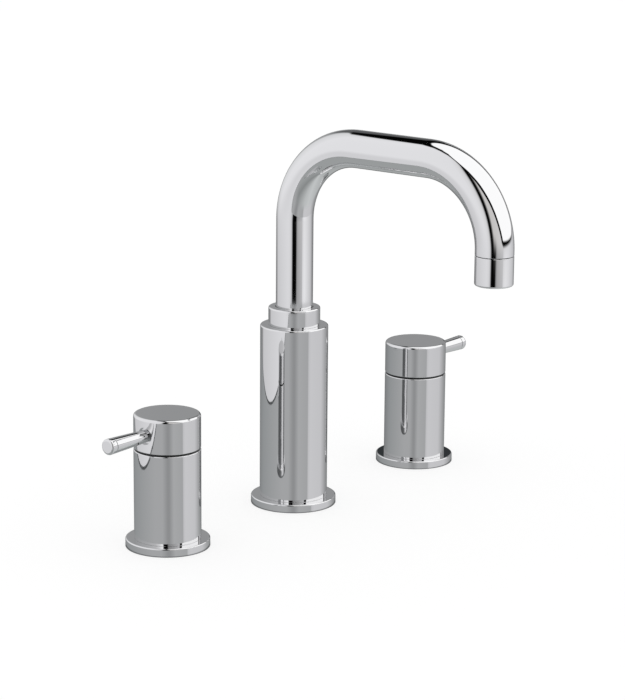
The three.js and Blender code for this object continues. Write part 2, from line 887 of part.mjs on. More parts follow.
// The spout's centre line in the YZ plane: riser, bend, run, bend and drop, with cross-sections only
// where the line begins, ends or turns
class SpoutLine extends THREE.Curve {
  constructor() {
    super();
    this.stations = [{ forward: 0, height: tubeFootHeight, heading: Math.PI / 2 }];
    this.addBend(bendRadius, riserTop);
    this.addBend(bendRadius + spoutRun, riserTop);
    this.stations.push({ forward: spoutReach, height: tubeEndHeight, heading: -Math.PI / 2 });
  }

  addBend(centreForward, centreHeight) {
    const start = this.stations[this.stations.length - 1].heading;
    for (let step = 0; step <= bendSteps; step += 1) {
      const heading = start - ((Math.PI / 2) * step) / bendSteps;
      this.stations.push({
        forward: centreForward - bendRadius * Math.sin(heading),
        height: centreHeight + bendRadius * Math.cos(heading),
        heading,
      });
    }
  }

  station(t) {
    return this.stations[Math.round(t * (this.stations.length - 1))];
  }

  getUtoTmapping(u) {
    return u;
  }

  getPoint(t, target = new THREE.Vector3()) {
    const { forward, height } = this.station(t);
    return target.set(0, -forward, height);
  }

  getTangent(t, target = new THREE.Vector3()) {
    const { heading } = this.station(t);
    return target.set(0, -Math.cos(heading), Math.sin(heading));
  }
}

function spoutTube() {
  const section = circleShape(tubeRadius);
  section.holes.push(circleHole(0, 0, tubeBoreRadius));
  const line = new SpoutLine();
  const tube = new THREE.ExtrudeGeometry(section, {
    steps: line.stations.length - 1,
    extrudePath: line,
    curveSegments: largeSegments / 2,
  });
  const grooveFloor = tubeRadius - clipGrooveDepth;
  const groove = ring(
    grooveFloor,
    tubeRadius + overrun,
    clipFoot - clearance,
    clipTop + clearance,
    smallSegments,
  );
  const notchDepth = tubeWall + overrun;
  const notchTop = tubeFootHeight + keyHeight + clearance;
  const notchWidth = keyWidth + 2 * clearance;
  const notchY = -(tubeRadius + overrun - notchDepth / 2 - clearance);
  const notch = box(notchWidth, notchDepth, tubeFootHeight - overrun, notchTop, 0, notchY);
  return cut(tube, groove, notch);
}

// The tee screws onto the pillar's lower thread and has one arm for each side's hose
function inletTee() {
  const socket = inletThreadRadius + clearance;
  const outer = socket + teeWall;
  const top = spoutShankEnd - clearance;
  const socketFloor = spoutInletEnd - teeWasherThickness;
  const chamber = inletThreadRadius - teeWall;
  const chamberFloor = socketFloor - teeChamberDepth;
  const foot = chamberFloor - teeFloor;
  const points = [
    [0, foot],
    [outer, foot],
    [outer, top],
    [socket, top],
    [socket, socketFloor],
    [chamber, socketFloor],
    [chamber, chamberFloor],
    [0, chamberFloor],
  ];
  const armHeight = socketFloor - teeChamberDepth / 2;
  const armEnd = outer + teeArmLength;
  const arm = turned(
    [
      [0, -armEnd],
      [nippleThreadDiameter / 2 - threadEdge, -armEnd],
      [nippleThreadDiameter / 2, threadEdge - armEnd],
      [nippleThreadDiameter / 2, armEnd - threadEdge],
      [nippleThreadDiameter / 2 - threadEdge, armEnd],
      [0, armEnd],
    ],
    smallSegments,
  );
  const body = joined(bar(outer, foot, top, smallSegments), alongX(arm, armHeight));
  const hollow = turned(
    [
      [0, chamberFloor],
      [chamber, chamberFloor],
      [chamber, socketFloor],
      [socket, socketFloor],
      [socket, top + overrun],
      [0, top + overrun],
    ],
    smallSegments,
  );
  const armBore = bar(nippleBoreDiameter / 2, -armEnd - overrun, armEnd + overrun, smallSegments);
  return cut(body, hollow, alongX(armBore, armHeight));
}

function teeWasher() {
  const inner = pillarBoreDiameter / 2 + clearance;
  return ring(inner, inletThreadRadius, spoutInletEnd - teeWasherThickness, spoutInletEnd, smallSegments);
}

// The outlet's pieces are built about Z and lie in a group at the spout's reach
function aeratorHousing() {
  const seam = tubeEndHeight - clearance;
  const bore = aeratorBoreRadius;
  const points = [
    [bore - aeratorLip, outletHeight],
    ...roundEdge(tubeRadius - aeratorEdge, outletHeight + aeratorEdge, aeratorEdge, -90, 0),
    [tubeRadius, seam - seamEdge],
    [tubeRadius - seamEdge, seam],
    [spigotRadius, seam],
    [spigotRadius, seam + aeratorSpigotLength],
    [bore, seam + aeratorSpigotLength],
    [bore, outletHeight + aeratorLipThickness],
    [bore - aeratorLip, outletHeight + aeratorLipThickness],
  ];
  return turned(points, largeSegments);
}

function aeratorInsert() {
  const low = outletHeight + aeratorLipThickness;
  const shape = circleShape(insertRadius);
  const radius = insertHoleDiameter / 2;
  const holeCircle = insertRadius - insertHoleInset;
  shape.holes.push(polygonHole(0, 0, radius, insertHoleSides));
  for (let hole = 0; hole < insertHoles; hole += 1) {
    const angle = (2 * Math.PI * hole) / insertHoles;
    const x = holeCircle * Math.cos(angle);
    const y = holeCircle * Math.sin(angle);
    shape.holes.push(polygonHole(x, y, radius, insertHoleSides));
  }
  return raised(shape, low, low + insertHeight, smallSegments / 2);
}

function aeratorWasher() {
  const low = outletHeight + aeratorLipThickness + insertHeight;
  const inner = insertRadius - aeratorWasherWidth;
  return ring(inner, insertRadius, low, low + aeratorWasherThickness, smallSegments);
}

function spoutStation() {
  const outlet = new THREE.Group();
  outlet.position.y = -spoutReach;
  outlet.add(
    piece('aerator_housing', aeratorHousing(), chrome),
    piece('aerator_insert', aeratorInsert(), whitePlastic),
    piece('aerator_washer', aeratorWasher(), rubber),
  );
  const [lowerRing, upperRing] = ringHeights();
  const station = new THREE.Group();
  station.add(
    piece('spout_flange', flange(spoutFlangeDiameter, shankRadius + clearance), chrome),
    piece('spout_base_gasket', baseGasket(spoutFlangeDiameter), rubber),
    piece('spout_sleeve', spoutSleeve(), chrome),
    piece('spout_collar', collar(), chrome),
    piece('spout_pillar', pillar(), brass),
    piece('spout_lower_oring', spoutRing(lowerRing), rubber),
    piece('spout_upper_oring', spoutRing(upperRing), rubber),
    piece('spout_swivel_bush', swivelBush(), acetal),
    piece('spout_circlip', swivelClip(), steel),
    piece('spout_tube', spoutTube(), chrome),
    piece('spout_inlet_tee', inletTee(), brass),
    piece('spout_tee_washer', teeWasher(), rubber),
    ...clampParts('spout', shankRadius),
    outlet,
  );
  return station;
}

const faucet = new THREE.Group();
const hotStation = valveStation('hot');
hotStation.position.x = -hotCentreDistance;
hotStation.rotation.z = Math.PI;
const coldStation = valveStation('cold');
coldStation.position.x = coldCentreDistance;
faucet.add(hotStation, coldStation, spoutStation());

export default faucet;
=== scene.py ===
"""Looks of a widespread basin faucet, built around its packed CAD frame.

The plated outer pieces, the seals and the hardware under the deck are modelled here at the sizes of
the frame's nodes, and stand for them. What stays inside keeps its node and gets its finish.
Everything is in metres, +Z up, with the origin on the spout's axis at the deck's top.
"""

import json
import math

import bmesh
import bpy
from bpy.props import FloatProperty, FloatVectorProperty, IntProperty, PointerProperty
from mathutils import Matrix, Vector

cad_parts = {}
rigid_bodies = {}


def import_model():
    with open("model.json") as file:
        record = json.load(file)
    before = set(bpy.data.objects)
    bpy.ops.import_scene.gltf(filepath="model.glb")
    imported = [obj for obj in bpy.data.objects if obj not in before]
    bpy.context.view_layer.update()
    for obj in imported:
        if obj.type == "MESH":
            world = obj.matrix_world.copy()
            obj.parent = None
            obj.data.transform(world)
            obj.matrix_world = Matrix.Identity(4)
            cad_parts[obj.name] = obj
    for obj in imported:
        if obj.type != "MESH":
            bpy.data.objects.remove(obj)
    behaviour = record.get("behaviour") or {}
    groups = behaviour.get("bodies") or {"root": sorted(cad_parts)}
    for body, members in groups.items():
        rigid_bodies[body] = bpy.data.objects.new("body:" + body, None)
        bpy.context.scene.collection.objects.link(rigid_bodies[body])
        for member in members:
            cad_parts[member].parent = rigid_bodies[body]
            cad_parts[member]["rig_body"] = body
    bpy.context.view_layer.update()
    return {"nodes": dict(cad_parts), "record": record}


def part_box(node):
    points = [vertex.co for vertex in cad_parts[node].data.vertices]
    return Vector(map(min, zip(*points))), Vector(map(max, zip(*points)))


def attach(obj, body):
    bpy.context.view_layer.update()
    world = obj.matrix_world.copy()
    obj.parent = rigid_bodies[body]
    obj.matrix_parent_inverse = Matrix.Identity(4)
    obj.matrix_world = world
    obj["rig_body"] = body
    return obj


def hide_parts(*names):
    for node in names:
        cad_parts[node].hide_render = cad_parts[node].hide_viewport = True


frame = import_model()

bl_info = {
    "name": "Widespread Basin Faucet",
    "version": (1, 0, 0),
    "blender": (4, 5, 0),
    "location": "3D View > Sidebar > Faucet",
    "description": "Builds the plated pieces, finishes and studio of a widespread basin faucet",
    "category": "Add Mesh",
}

MM = 0.001
ALONG_X = Vector((1, 0, 0))
ALONG_Y = Vector((0, 1, 0))
UP = Vector((0, 0, 1))

# The valves, each with the way that its lever points
LEVER_WAYS = {"hot": -ALONG_X, "cold": ALONG_X}
STATIONS = ("hot", "cold", "spout")

# A thread's ridges rise this share of its pitch, and their crests lie between these shares of a turn
THREAD_DEPTH = 0.6
THREAD_CREST = (0.42, 0.58)
# A hexagon's corners are cut back this many times the height of the cut
CORNER_SLANT = 1.6

# Points closer to each other than WELD are one, and those closer to a ring than NEAR are on it
WELD = 0.002 * MM
NEAR = 0.004 * MM
# Cutters reach this far past what they cut, and drills have more facets the wider they are
OVERRUN = 1 * MM
DRILL_SIDES = {"narrow": 24, "middle": 32, "wide": 48}
# Edges that bend less than this look smooth. Over 50, large faces set the shading more than small ones
SMOOTH_ANGLE = math.radians(35)
FACE_WEIGHT = 80

# The darkest that a material's variation makes it, as a share of its colour
PATCH_SHADE = 0.82
GRAIN_SHADE = 0.86


def linear(code):
    """An sRGB hex colour as linear red, green and blue."""
    channels = [int(code[start : start + 2], 16) / 255 for start in (1, 3, 5)]
    return [c / 12.92 if c <= 0.04045 else ((c + 0.055) / 1.055) ** 2.4 for c in channels]


def half_width(node):
    """Half of a node's width across its axis, measured along Y."""
    low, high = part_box(node)
    return (high.y - low.y) / 2


def station_centre(station):
    """The point on the deck's top where a station's axis stands."""
    low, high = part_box(f"{station}_flange")
    return Vector(((low.x + high.x) / 2, 0, 0))


def axis_point(station, node):
    """The point on a station's axis at the middle of a node's height."""
    low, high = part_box(node)
    return station_centre(station) + UP * (low.z + high.z) / 2


def length_property(name, description, millimetres):
    """A length that a user may change, kept in metres."""
    return FloatProperty(
        name=name, description=description, default=millimetres * MM, min=0, unit="LENGTH", precision=4
    )


def angle_property(name, description, degrees):
    """An angle that a user may change, kept in radians."""
    return FloatProperty(name=name, description=description, default=math.radians(degrees), subtype="ANGLE")


def count_property(name, description, default, low, high):
    """A number of facets or rings that a user may change."""
    return IntProperty(name=name, description=description, default=default, min=low, max=high)


def number_property(name, description, default, low, high):
    """A plain number that a user may change."""
    return FloatProperty(name=name, description=description, default=default, min=low, max=high)


def colour_property(name, description, code):
    """A colour that a user may change."""
    return FloatVectorProperty(
        name=name, description=description, default=linear(code), min=0, max=1, subtype="COLOR"
    )


class ColumnSizes(bpy.types.PropertyGroup):
    """Sizes of the three columns that stand on the deck."""

    sides: count_property("Sides", "Facets round each column", 128, 32, 256)
    edge_steps: count_property("Edge steps", "Facets across each rounded edge", 5, 1, 8)
    flange_edge: length_property("Flange edge", "Rounding of each flange's upper rim", 0.9)
    flange_foot_edge: length_property("Flange foot edge", "Rounding where each flange meets the deck", 0.25)
    groove_width: length_property("Gasket groove", "Width of the groove that holds the base gasket", 4)
    groove_depth: length_property("Gasket depth", "Depth of the groove that holds the base gasket", 1.6)
    fit: length_property("Fit", "Room between pieces that slide over each other", 0.3)
    valve_shaft: length_property("Valve shaft radius", "Radius of the threaded barrel of each valve", 14)
    spout_shaft: length_property("Spout shaft radius", "Radius of the spout's threaded shank", 13)
    sleeve_wall: length_property("Sleeve wall", "Wall of the column sleeves", 2.2)
    sleeve_foot_edge: length_property("Sleeve foot edge", "Rounding of each sleeve's lower rim", 0.2)
    valve_sleeve_edge: length_property("Valve sleeve edge", "Rounding of a valve sleeve's upper rim", 0.6)
    spout_sleeve_edge: length_property("Spout sleeve edge", "Rounding of the spout sleeve's upper rim", 1.1)
    shelf: length_property("Shelf", "Thickness of the shelf inside each sleeve", 3)
    collar_edge: length_property("Collar edge", "Rounding of the collar's upper rim", 1.2)
    collar_foot_edge: length_property("Collar foot edge", "Rounding where the collar meets the sleeve", 0.2)
    collar_height: length_property("Collar height", "Height of the collar over the sleeve", 12.4)
    collar_lip: length_property("Collar lip", "Thickness of the lip that closes on the tube", 3.6)
    collar_bore: length_property("Collar bore", "Radius of the lip's hole that the tube goes through", 12.8)
    collar_skirt: length_property("Collar skirt", "Wall of the skirt that hangs into the sleeve", 1.6)
    glide_wall: length_property("Glide wall", "Wall of the glide ring's skirt inside a valve sleeve", 1)


class HandleSizes(bpy.types.PropertyGroup):
    """Sizes of the turning hubs and their levers."""

    hub_wall: length_property("Hub wall", "Wall of the hub's skirt", 4.5)
    hub_crown: length_property("Hub crown", "Thickness of the hub's top", 3)
    hub_edge: length_property("Hub edge", "Rounding of the hub's upper rim", 1.9)
    hub_foot_edge: length_property("Hub foot edge", "Rounding of the hub's lower rim", 0.4)
    boss_radius: length_property("Boss radius", "Radius of the boss that grips the spindle", 8.3)
    boss_height: length_property("Boss foot", "Height of the boss's lower face over the hub's foot", 5.4)
    spline_socket: length_property("Spline socket radius", "Radius of the hole for the spindle", 4.3)
    socket_depth: length_property("Socket depth", "How deep the lever's socket is cut in the hub", 2)
    socket_radius: length_property("Socket radius", "Radius of the lever's socket in the hub", 5.6)
    stud_hole: length_property("Stud hole radius", "Radius of the hole for the lever's stud", 2.8)
    lever_sides: count_property("Lever sides", "Facets round each lever", 96, 24, 192)
    lever_root: length_property("Lever root radius", "Radius of the lever where it leaves the hub", 4.05)
    lever_tip: length_property("Lever tip radius", "Radius of the lever's cap at its end", 5.25)
    lever_edge: length_property("Lever end edge", "Rounding of the cap's end", 1.6)
    lever_root_edge: length_property("Lever root edge", "Rounding of the lever's seat in the hub", 0.2)
    seam_steps: count_property("Seam steps", "Facets across each edge at a seam", 2, 1, 8)
    seam_edge: length_property("Seam edge", "Chamfer on each side of the seam before the cap", 0.25)
    spigot_radius: length_property("Spigot radius", "Radius of the spigot that the cap sits on", 2.8)
    spigot_length: length_property("Spigot length", "Length of the spigot that the cap sits on", 2.6)
    stud_grip: length_property("Stud grip", "Length of stud inside the lever", 9)


class SpoutSizes(bpy.types.PropertyGroup):
    """Sizes of the bent spout tube and its outlet."""

    sides: count_property("Sides", "Facets round the tube", 96, 32, 192)
    bend_steps: count_property("Bend steps", "Rings along each quarter bend", 48, 12, 96)
    wall: length_property("Wall", "Wall of the tube", 2)
    bend_radius: length_property("Bend radius", "Radius of both bends on the centre line", 52.6)
    rim_edge: length_property("Rim edge", "Rounding of the tube's lower outer rim", 0.2)
    seam_steps: count_property("Seam steps", "Facets across each edge at the seam", 2, 1, 8)
    seam_edge: length_property("Seam edge", "Chamfer on the aerator's side of the seam", 0.5)
    seam_gap: length_property("Seam gap", "Gap between the tube and the aerator", 0.3)
    aerator_height: length_property("Aerator height", "Height of the aerator under its seam", 19.2)
    aerator_edge: length_property("Aerator edge", "Rounding of the outlet's outer rim", 1.4)
    aerator_spigot: length_property("Aerator spigot", "Length of the spigot inside the tube", 6)
    aerator_wall: length_property("Aerator wall", "Wall of the aerator's spigot", 1.2)
    aerator_lip: length_property("Aerator lip", "Width of the lip that holds the insert", 1.2)
    aerator_lip_height: length_property("Lip height", "Height of the lip that holds the insert", 2)
    insert_wall: length_property("Insert wall", "Wall of the aerator's insert", 1)
    insert_rib: length_property("Insert rib", "Half the width of the ribs of the insert's grid", 0.22)
    insert_rings: count_property("Insert rings", "Round ribs of the insert's grid", 5, 2, 12)
    insert_spokes: count_property("Insert spokes", "Straight ribs of the insert's grid", 24, 8, 64)


class HardwareSizes(bpy.types.PropertyGroup):
    """Sizes of the brass bodies, nuts and washers in and under the deck."""

    sides: count_property("Sides", "Facets round each turned piece", 64, 24, 128)
    edge_steps: count_property("Edge steps", "Facets across each rounded edge", 3, 1, 8)
    chamfer: length_property("Chamfer", "Chamfer at the end of each thread", 0.8)
    relief: length_property("Relief", "Plain groove where a thread runs out", 1)
    shaft_pitch: length_property("Shaft pitch", "Pitch of the threads that the locknuts run on", 1.5)
    pipe_pitch: length_property("Pipe pitch", "Pitch of the half-inch pipe thread", 1.8)
    hose_pitch: length_property("Hose pitch", "Pitch of the hose threads", 1.34)
    pipe_radius: length_property("Pipe thread radius", "Radius of the half-inch pipe thread", 10.45)
    hose_radius: length_property("Hose thread radius", "Radius of the hose threads", 8.3)
    inlet_bore: length_property("Inlet bore", "Radius of the bore in each valve's inlet", 4.5)
    inlet_length: length_property("Inlet length", "Length of each valve's inlet thread", 14)
    block_radius: length_property("Block radius", "Radius of the block under each valve", 17)
    block_length: length_property("Block length", "Height of the block under each valve", 22)
    block_edge: length_property("Block edge", "Rounding of the block's edges", 1)
    block_flats: length_property("Block flats", "Distance across the block's wrench flats", 31)
    lower_thread_top: length_property("Lower thread top", "Height at which a valve's lower thread ends", 13)
    barrel_bore: length_property("Barrel bore", "Radius of the barrel that takes the cartridge", 11.6)
    seat_height: length_property("Seat height", "Height of the seat of the ceramic discs", 28)
    passage_radius: length_property("Passage radius", "Radius of the drilled passage to the outlet", 2.2)
    passage_offset: length_property("Passage offset", "From the valve's axis to the passage", 9.2)
    port_radius: length_property("Port radius", "Radius of the hole for the outlet nipple", 5.3)
    port_depth: length_property("Port depth", "Depth of the hole for the outlet nipple", 6)
    spigot_radius: length_property("Spigot radius", "Radius of the nipple's end in the port", 5)
    spigot_length: length_property("Spigot length", "Length of the nipple's end in the port", 6)
    hose_bore: length_property("Hose bore", "Radius of the bore in the nipples and the tee's arms", 3.2)
    nipple_hex: length_property("Nipple hexagon", "Length of the nipple's hexagon", 5)
    hex_corner: length_property("Corner chamfer", "Height of the chamfer on a hexagon's corners", 0.9)
    pillar_bore: length_property("Pillar bore", "Radius of the bore in the spout's pillar", 5.5)
    pillar_shoulder: length_property("Shoulder radius", "Radius of the pillar's foot on the flange", 20.5)
    shoulder_height: length_property("Shoulder height", "Height of the pillar's shoulder", 4)
    stem_radius: length_property("Stem radius", "Radius of the pillar's stem", 11.5)
    crown_radius: length_property("Crown radius", "Radius of the crown that the spout turns on", 14.5)
    crown_height: length_property("Crown height", "Height of the crown", 12)
    crown_top: length_property("Crown top", "Height of the crown's upper face over the deck", 116.8)
    slot_radius: length_property("Slot radius", "Inner radius of the crown's stop slot", 11.2)
    slot_depth: length_property("Slot depth", "Depth of the crown's stop slot", 3.3)
    slot_turn: angle_property("Slot turn", "Angle that the crown's stop slot covers", 140.52)
    slot_steps: count_property("Slot steps", "Facets along the crown's stop slot", 32, 8, 64)
    swivel_radius: length_property("Swivel radius", "Radius of the spigot that the spout turns on", 10.2)
    ring_groove: length_property("Groove radius", "Radius of the floor of the O-ring grooves", 8.4)
    ring_groove_width: length_property("Groove width", "Width of the O-ring grooves", 2.3)
    tee_radius: length_property("Tee radius", "Outer radius of the inlet tee", 13.75)
    tee_chamber: length_property("Tee chamber", "Radius of the chamber where both waters meet", 7.45)
    tee_floor: length_property("Tee floor", "Thickness of the tee's floor", 3)
    tee_arm_height: length_property("Tee arm height", "Height of the arms' axis over the tee's foot", 10)
    tee_flats: length_property("Tee flats", "Distance across the tee's wrench flats", 25.6)
    rubber_edge: length_property("Rubber edge", "Rounding of the rubber washers' rims", 0.8)
    steel_edge: length_property("Steel edge", "Rounding of the steel washers' rims", 0.3)


class FinishColours(bpy.types.PropertyGroup):
    """Base colours of the materials."""

    chrome: colour_property("Chrome", "Bright chrome plate", "#e8e8e9")
    brass: colour_property("Brass", "Machined brass", "#c9a35c")
    steel: colour_property("Steel", "Stainless steel", "#c2c3c4")
    rubber: colour_property("Rubber", "Black nitrile rubber", "#1d1d1d")
    acetal: colour_property("Acetal", "Black acetal", "#121213")
    ceramic: colour_property("Ceramic", "Alumina ceramic", "#ece9e1")
    white_plastic: colour_property("White plastic", "White acetal of the aerator insert", "#e6e8ea")
    floor: colour_property("Floor", "Pale floor", "#fefefe")
    table_rim: colour_property("Table rim", "Rim and shaded places of the reflected table", "#4c4e4f")
    card: colour_property("Card", "Dark card that stands at the wall of the light tent", "#303335")
    high_wall: colour_property("High wall", "Shaded upper part of the light tent's wall", "#5a5b5c")
    gap: colour_property("Gap", "Dark gap between the light tent's wall and its roof", "#040404")
    roof: colour_property("Roof", "Lit roof of the light tent", "#ffffff")


class StudioSizes(bpy.types.PropertyGroup):
    """The camera and the studio round the faucet."""

    azimuth: angle_property("Azimuth", "Camera's turn about Z", -51.126)
    elevation: angle_property("Elevation", "Camera's height over the horizon", 13.495)
    roll: angle_property("Roll", "Camera's turn about its own axis", 0.436)
    distance: length_property("Distance", "From the camera to the point it looks at", 1741.6)
    aim_height: length_property("Aim height", "Height of the point that the camera looks at", 91.2)
    shift_right: length_property("Shift right", "How far the camera stands to the right of its aim", 12.58)
    shift_up: length_property("Shift up", "How far the camera stands above its aim", 14.86)
    lens: number_property("Lens", "Focal length in millimetres", 132.12, 10, 500)
    floor_size: length_property("Floor size", "Side of the square floor", 16000)
    floor_drop: length_property("Floor drop", "From the deck's top down to the floor", 0.1)
    floor_glow: number_property("Floor glow", "Share of the floor's white that no shadow reaches", 0.7, 0, 1)
    sky_strength: number_property("Sky strength", "Light that the world gives", 1.04, 0, 10)
    tent_radius: length_property("Tent radius", "Radius of the light tent that the chrome reflects", 1000)
    tent_segments: count_property("Tent segments", "Facets round the light tent", 64, 16, 128)
    tent_strength: number_property("Tent strength", "Brightness of the tent's white cloth", 1.19, 0, 10)
    table_radius: length_property("Table radius", "Radius of the grey table that the chrome reflects", 650)
    table_drop: length_property("Table drop", "From the deck's top down to the table", 0.05)
    table_side: length_property("Table side", "From the spout to the table's straight left side", 302)
    table_side_facing: angle_property("Table side facing", "Way that the table's straight side faces", 133)
    table_rim: length_property("Table rim", "Width of the dark rim of the table's straight side", 9)
    contact_shade: length_property("Contact shade", "Width of the dark ring round each flange's foot", 3.4)
    under_deck: length_property("Under deck", "Pieces that reach deeper than this are under the deck", 1)


def shaft_radius(station):
    """The radius of the threaded shaft that holds a station to the deck."""
    sizes = bpy.context.scene.faucet_columns
    return sizes.spout_shaft if station == "spout" else sizes.valve_shaft


def pick(piece):
    """Selects one piece alone and makes it the active one."""
    bpy.ops.object.select_all(action="DESELECT")
    piece.select_set(True)
    bpy.context.view_layer.objects.active = piece


def open_edit(piece):
    """Opens a piece in edit mode with all its vertices selected."""
    pick(piece)
    bpy.ops.object.mode_set(mode="EDIT")
    bpy.ops.mesh.select_mode(type="VERT")
    bpy.ops.mesh.select_all(action="SELECT")


def close_edit():
    bpy.ops.object.mode_set(mode="OBJECT")


def face_outwards():
    """Turns all faces of the piece in edit mode outwards."""
    bpy.ops.mesh.select_all(action="SELECT")
    bpy.ops.mesh.normals_make_consistent(inside=False)


def apply_modifier(piece, kind, **options):
    """Adds one modifier, sets it and applies it."""
    modifier = piece.modifiers.new(kind.title(), kind)
    for key, value in options.items():
        setattr(modifier, key, value)
    pick(piece)
    bpy.ops.object.modifier_apply(modifier=modifier.name)


def draw_ring(name, radius, place, axis, sides):
    """A bare ring of vertices about an axis, with its place in its mesh."""
    turn = UP.rotation_difference(axis).to_euler()
    bpy.ops.object.select_all(action="DESELECT")
    bpy.ops.mesh.primitive_circle_add(
        vertices=sides, radius=radius, fill_type="NOTHING", location=place, rotation=turn
    )
    piece = bpy.context.object
    piece.name = name
    piece.data.name = name
    bpy.ops.object.transform_apply(location=True, rotation=True, scale=True)
    return piece


def extrude(step):
    """Extrudes what is selected by one step."""
    bpy.ops.mesh.extrude_region_move(TRANSFORM_OT_translate={"value": step})


def grow_ring(stations, foot, axis):
    """Extrudes the selected ring through the stations, each a radius and a height along the axis."""
    across = Vector([1 - abs(part) for part in axis])
    along = Vector([abs(part) for part in axis])
    for (radius, height), (next_radius, next_height) in zip(stations, stations[1:]):
        extrude(axis * (next_height - height))
        scale = along + across * (next_radius / radius)
        bpy.ops.transform.resize(value=scale, center_override=foot + axis * next_height)


def turn_piece(name, stations, foot, sides, axis=UP, hollow=True):
    """Turns a piece as on a lathe: a ring is drawn, then extruded and scaled from station to station.
    A hollow piece's last ring is bridged to its first, and a solid one's ends are filled."""
    first_radius, first_height = stations[0]
    piece = draw_ring(name, first_radius, foot + axis * first_height, axis, sides)
    open_edit(piece)
    if not hollow:
        bpy.ops.mesh.edge_face_add()
        bpy.ops.mesh.select_mode(type="VERT")
    grow_ring(stations, foot, axis)
    if hollow:
        bpy.ops.mesh.select_all(action="DESELECT")
        bpy.ops.mesh.select_non_manifold(
            extend=False, use_wire=False, use_multi_face=False, use_non_contiguous=False, use_verts=False
        )
        bpy.ops.mesh.bridge_edge_loops()
    face_outwards()
    close_edit()
    return piece


def select_ring(piece, foot, axis, radius, height):
    """Selects the edges that run round the axis at one radius and height."""
    mesh = bmesh.from_edit_mesh(piece.data)
    for edge in mesh.edges:
        hits = 0
        for corner in edge.verts:
            offset = corner.co - foot
            rise = offset.dot(axis)
            out = (offset - axis * rise).length
            hits += abs(rise - height) < NEAR and abs(out - radius) < NEAR
        edge.select_set(hits == 2)
    mesh.select_flush_mode()
    bmesh.update_edit_mesh(piece.data)


def round_rims(piece, foot, rims, axis=UP):
    """Rounds rims, each given as its radius, its height, its rounding and the facets across it."""
    open_edit(piece)
    bpy.ops.mesh.select_mode(type="EDGE")
    for radius, height, size, steps in rims:
        bpy.ops.mesh.select_all(action="DESELECT")
        select_ring(piece, foot, axis, radius, height)
        bpy.ops.mesh.bevel(offset=size, offset_type="OFFSET", segments=steps, profile=0.5, affect="EDGES")
    close_edit()


def grown_part(name, stations, foot, sides, axis):
    """A stretch of a turned piece's outline, open at both ends."""
    part = draw_ring(name, stations[0][0], foot + axis * stations[0][1], axis, sides)
    open_edit(part)
    grow_ring(stations, foot, axis)
    close_edit()
    return part


def thread_strip(name, thread, foot, sides, axis):
    """A stretch of thread, drawn as rings: one ridge is made and an array repeats it."""
    radius, start, end, pitch = thread
    count = max(1, round((end - start) / pitch))
    step = (end - start) / count
    root = radius - THREAD_DEPTH * pitch
    crest = [(radius, start + share * step) for share in THREAD_CREST]
    strip = grown_part(name, [(root, start), *crest, (root, start + step)], foot, sides, axis)
    apply_modifier(
        strip,
        "ARRAY",
        count=count,
        use_relative_offset=False,
        use_constant_offset=True,
        constant_offset_displace=axis * step,
        use_merge_vertices=True,
        merge_threshold=WELD,
    )
    return strip


def turn_threaded(name, course, foot, sides, axis=UP, hollow=True):
    """A turned piece with threads in its outline. A stop of its course is a radius and a height along
    the axis, or a thread's radius, start, end and pitch."""
    parts = []
    plain = []
    for stop in [*course, course[0]] if hollow else course:
        if len(stop) == 2:
            plain.append(stop)
            continue
        radius, start, end, pitch = stop
        root = radius - THREAD_DEPTH * pitch
        parts.append(grown_part(name, [*plain, (root, start)], foot, sides, axis))
        parts.append(thread_strip(name, stop, foot, sides, axis))
        plain = [(root, end)]
    parts.append(grown_part(name, plain, foot, sides, axis))
    piece = parts[0]
    pick(piece)
    for part in parts:
        part.select_set(True)
    bpy.ops.object.join()
    open_edit(piece)
    bpy.ops.mesh.remove_doubles(threshold=WELD)
    if not hollow:
        bpy.ops.mesh.fill_holes(sides=0)
    face_outwards()
    close_edit()
    return piece


def cut_flats(piece, centre, across, count, first, axis=UP):
    """Cuts flats for a wrench round the axis, evenly spaced, the first one facing the given way."""
    open_edit(piece)
    for index in range(count):
        facing = Matrix.Rotation(2 * math.pi * index / count, 3, axis) @ first
        place = centre + facing * across / 2
        bpy.ops.mesh.select_all(action="SELECT")
        bpy.ops.mesh.bisect(
            plane_co=place, plane_no=facing, use_fill=True, clear_outer=True, threshold=WELD
        )
    close_edit()


def cut_with(piece, cutter, operation="DIFFERENCE", solver="MANIFOLD"):
    """Cuts a piece with another, or unites them, and removes the other."""
    apply_modifier(piece, "BOOLEAN", operation=operation, object=cutter, solver=solver)
    bpy.data.objects.remove(cutter)


def drill(piece, stations, foot, width, axis=UP):
    """Drills a stepped hole, given as the stations of its drill and how wide it is."""
    cut_with(piece, turn_piece("drill", stations, foot, DRILL_SIDES[width], axis, hollow=False))


def finish_piece(piece, node, slot):
    """Shades a piece, gives it its material and lets it stand for its node on the node's body."""
    pick(piece)
    bpy.ops.object.shade_smooth_by_angle(angle=SMOOTH_ANGLE)
    apply_modifier(piece, "WEIGHTED_NORMAL", keep_sharp=True, weight=FACE_WEIGHT)
    piece.data.materials.clear()
    piece.data.materials.append(bpy.data.materials[MATERIAL_NAMES[slot]])
    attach(piece, frame["nodes"][node]["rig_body"])
    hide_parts(node)


def make_turned(name, node, slot, stations, foot, sides, rims=(), axis=UP, hollow=True):
    """Turns a piece, rounds its rims, and finishes it to stand for its node."""
    piece = turn_piece(name, stations, foot, sides, axis, hollow)
    round_rims(piece, foot, rims, axis)
    finish_piece(piece, node, slot)


MATERIAL_NAMES = {
    "chrome_plate": "polished chrome plate",
    "brass": "machined brass",
    "stainless_steel": "turned stainless steel",
    "black_rubber": "moulded nitrile rubber",
    "black_acetal": "black acetal",
    "alumina_ceramic": "lapped alumina",
    "white_plastic": "white acetal",
}


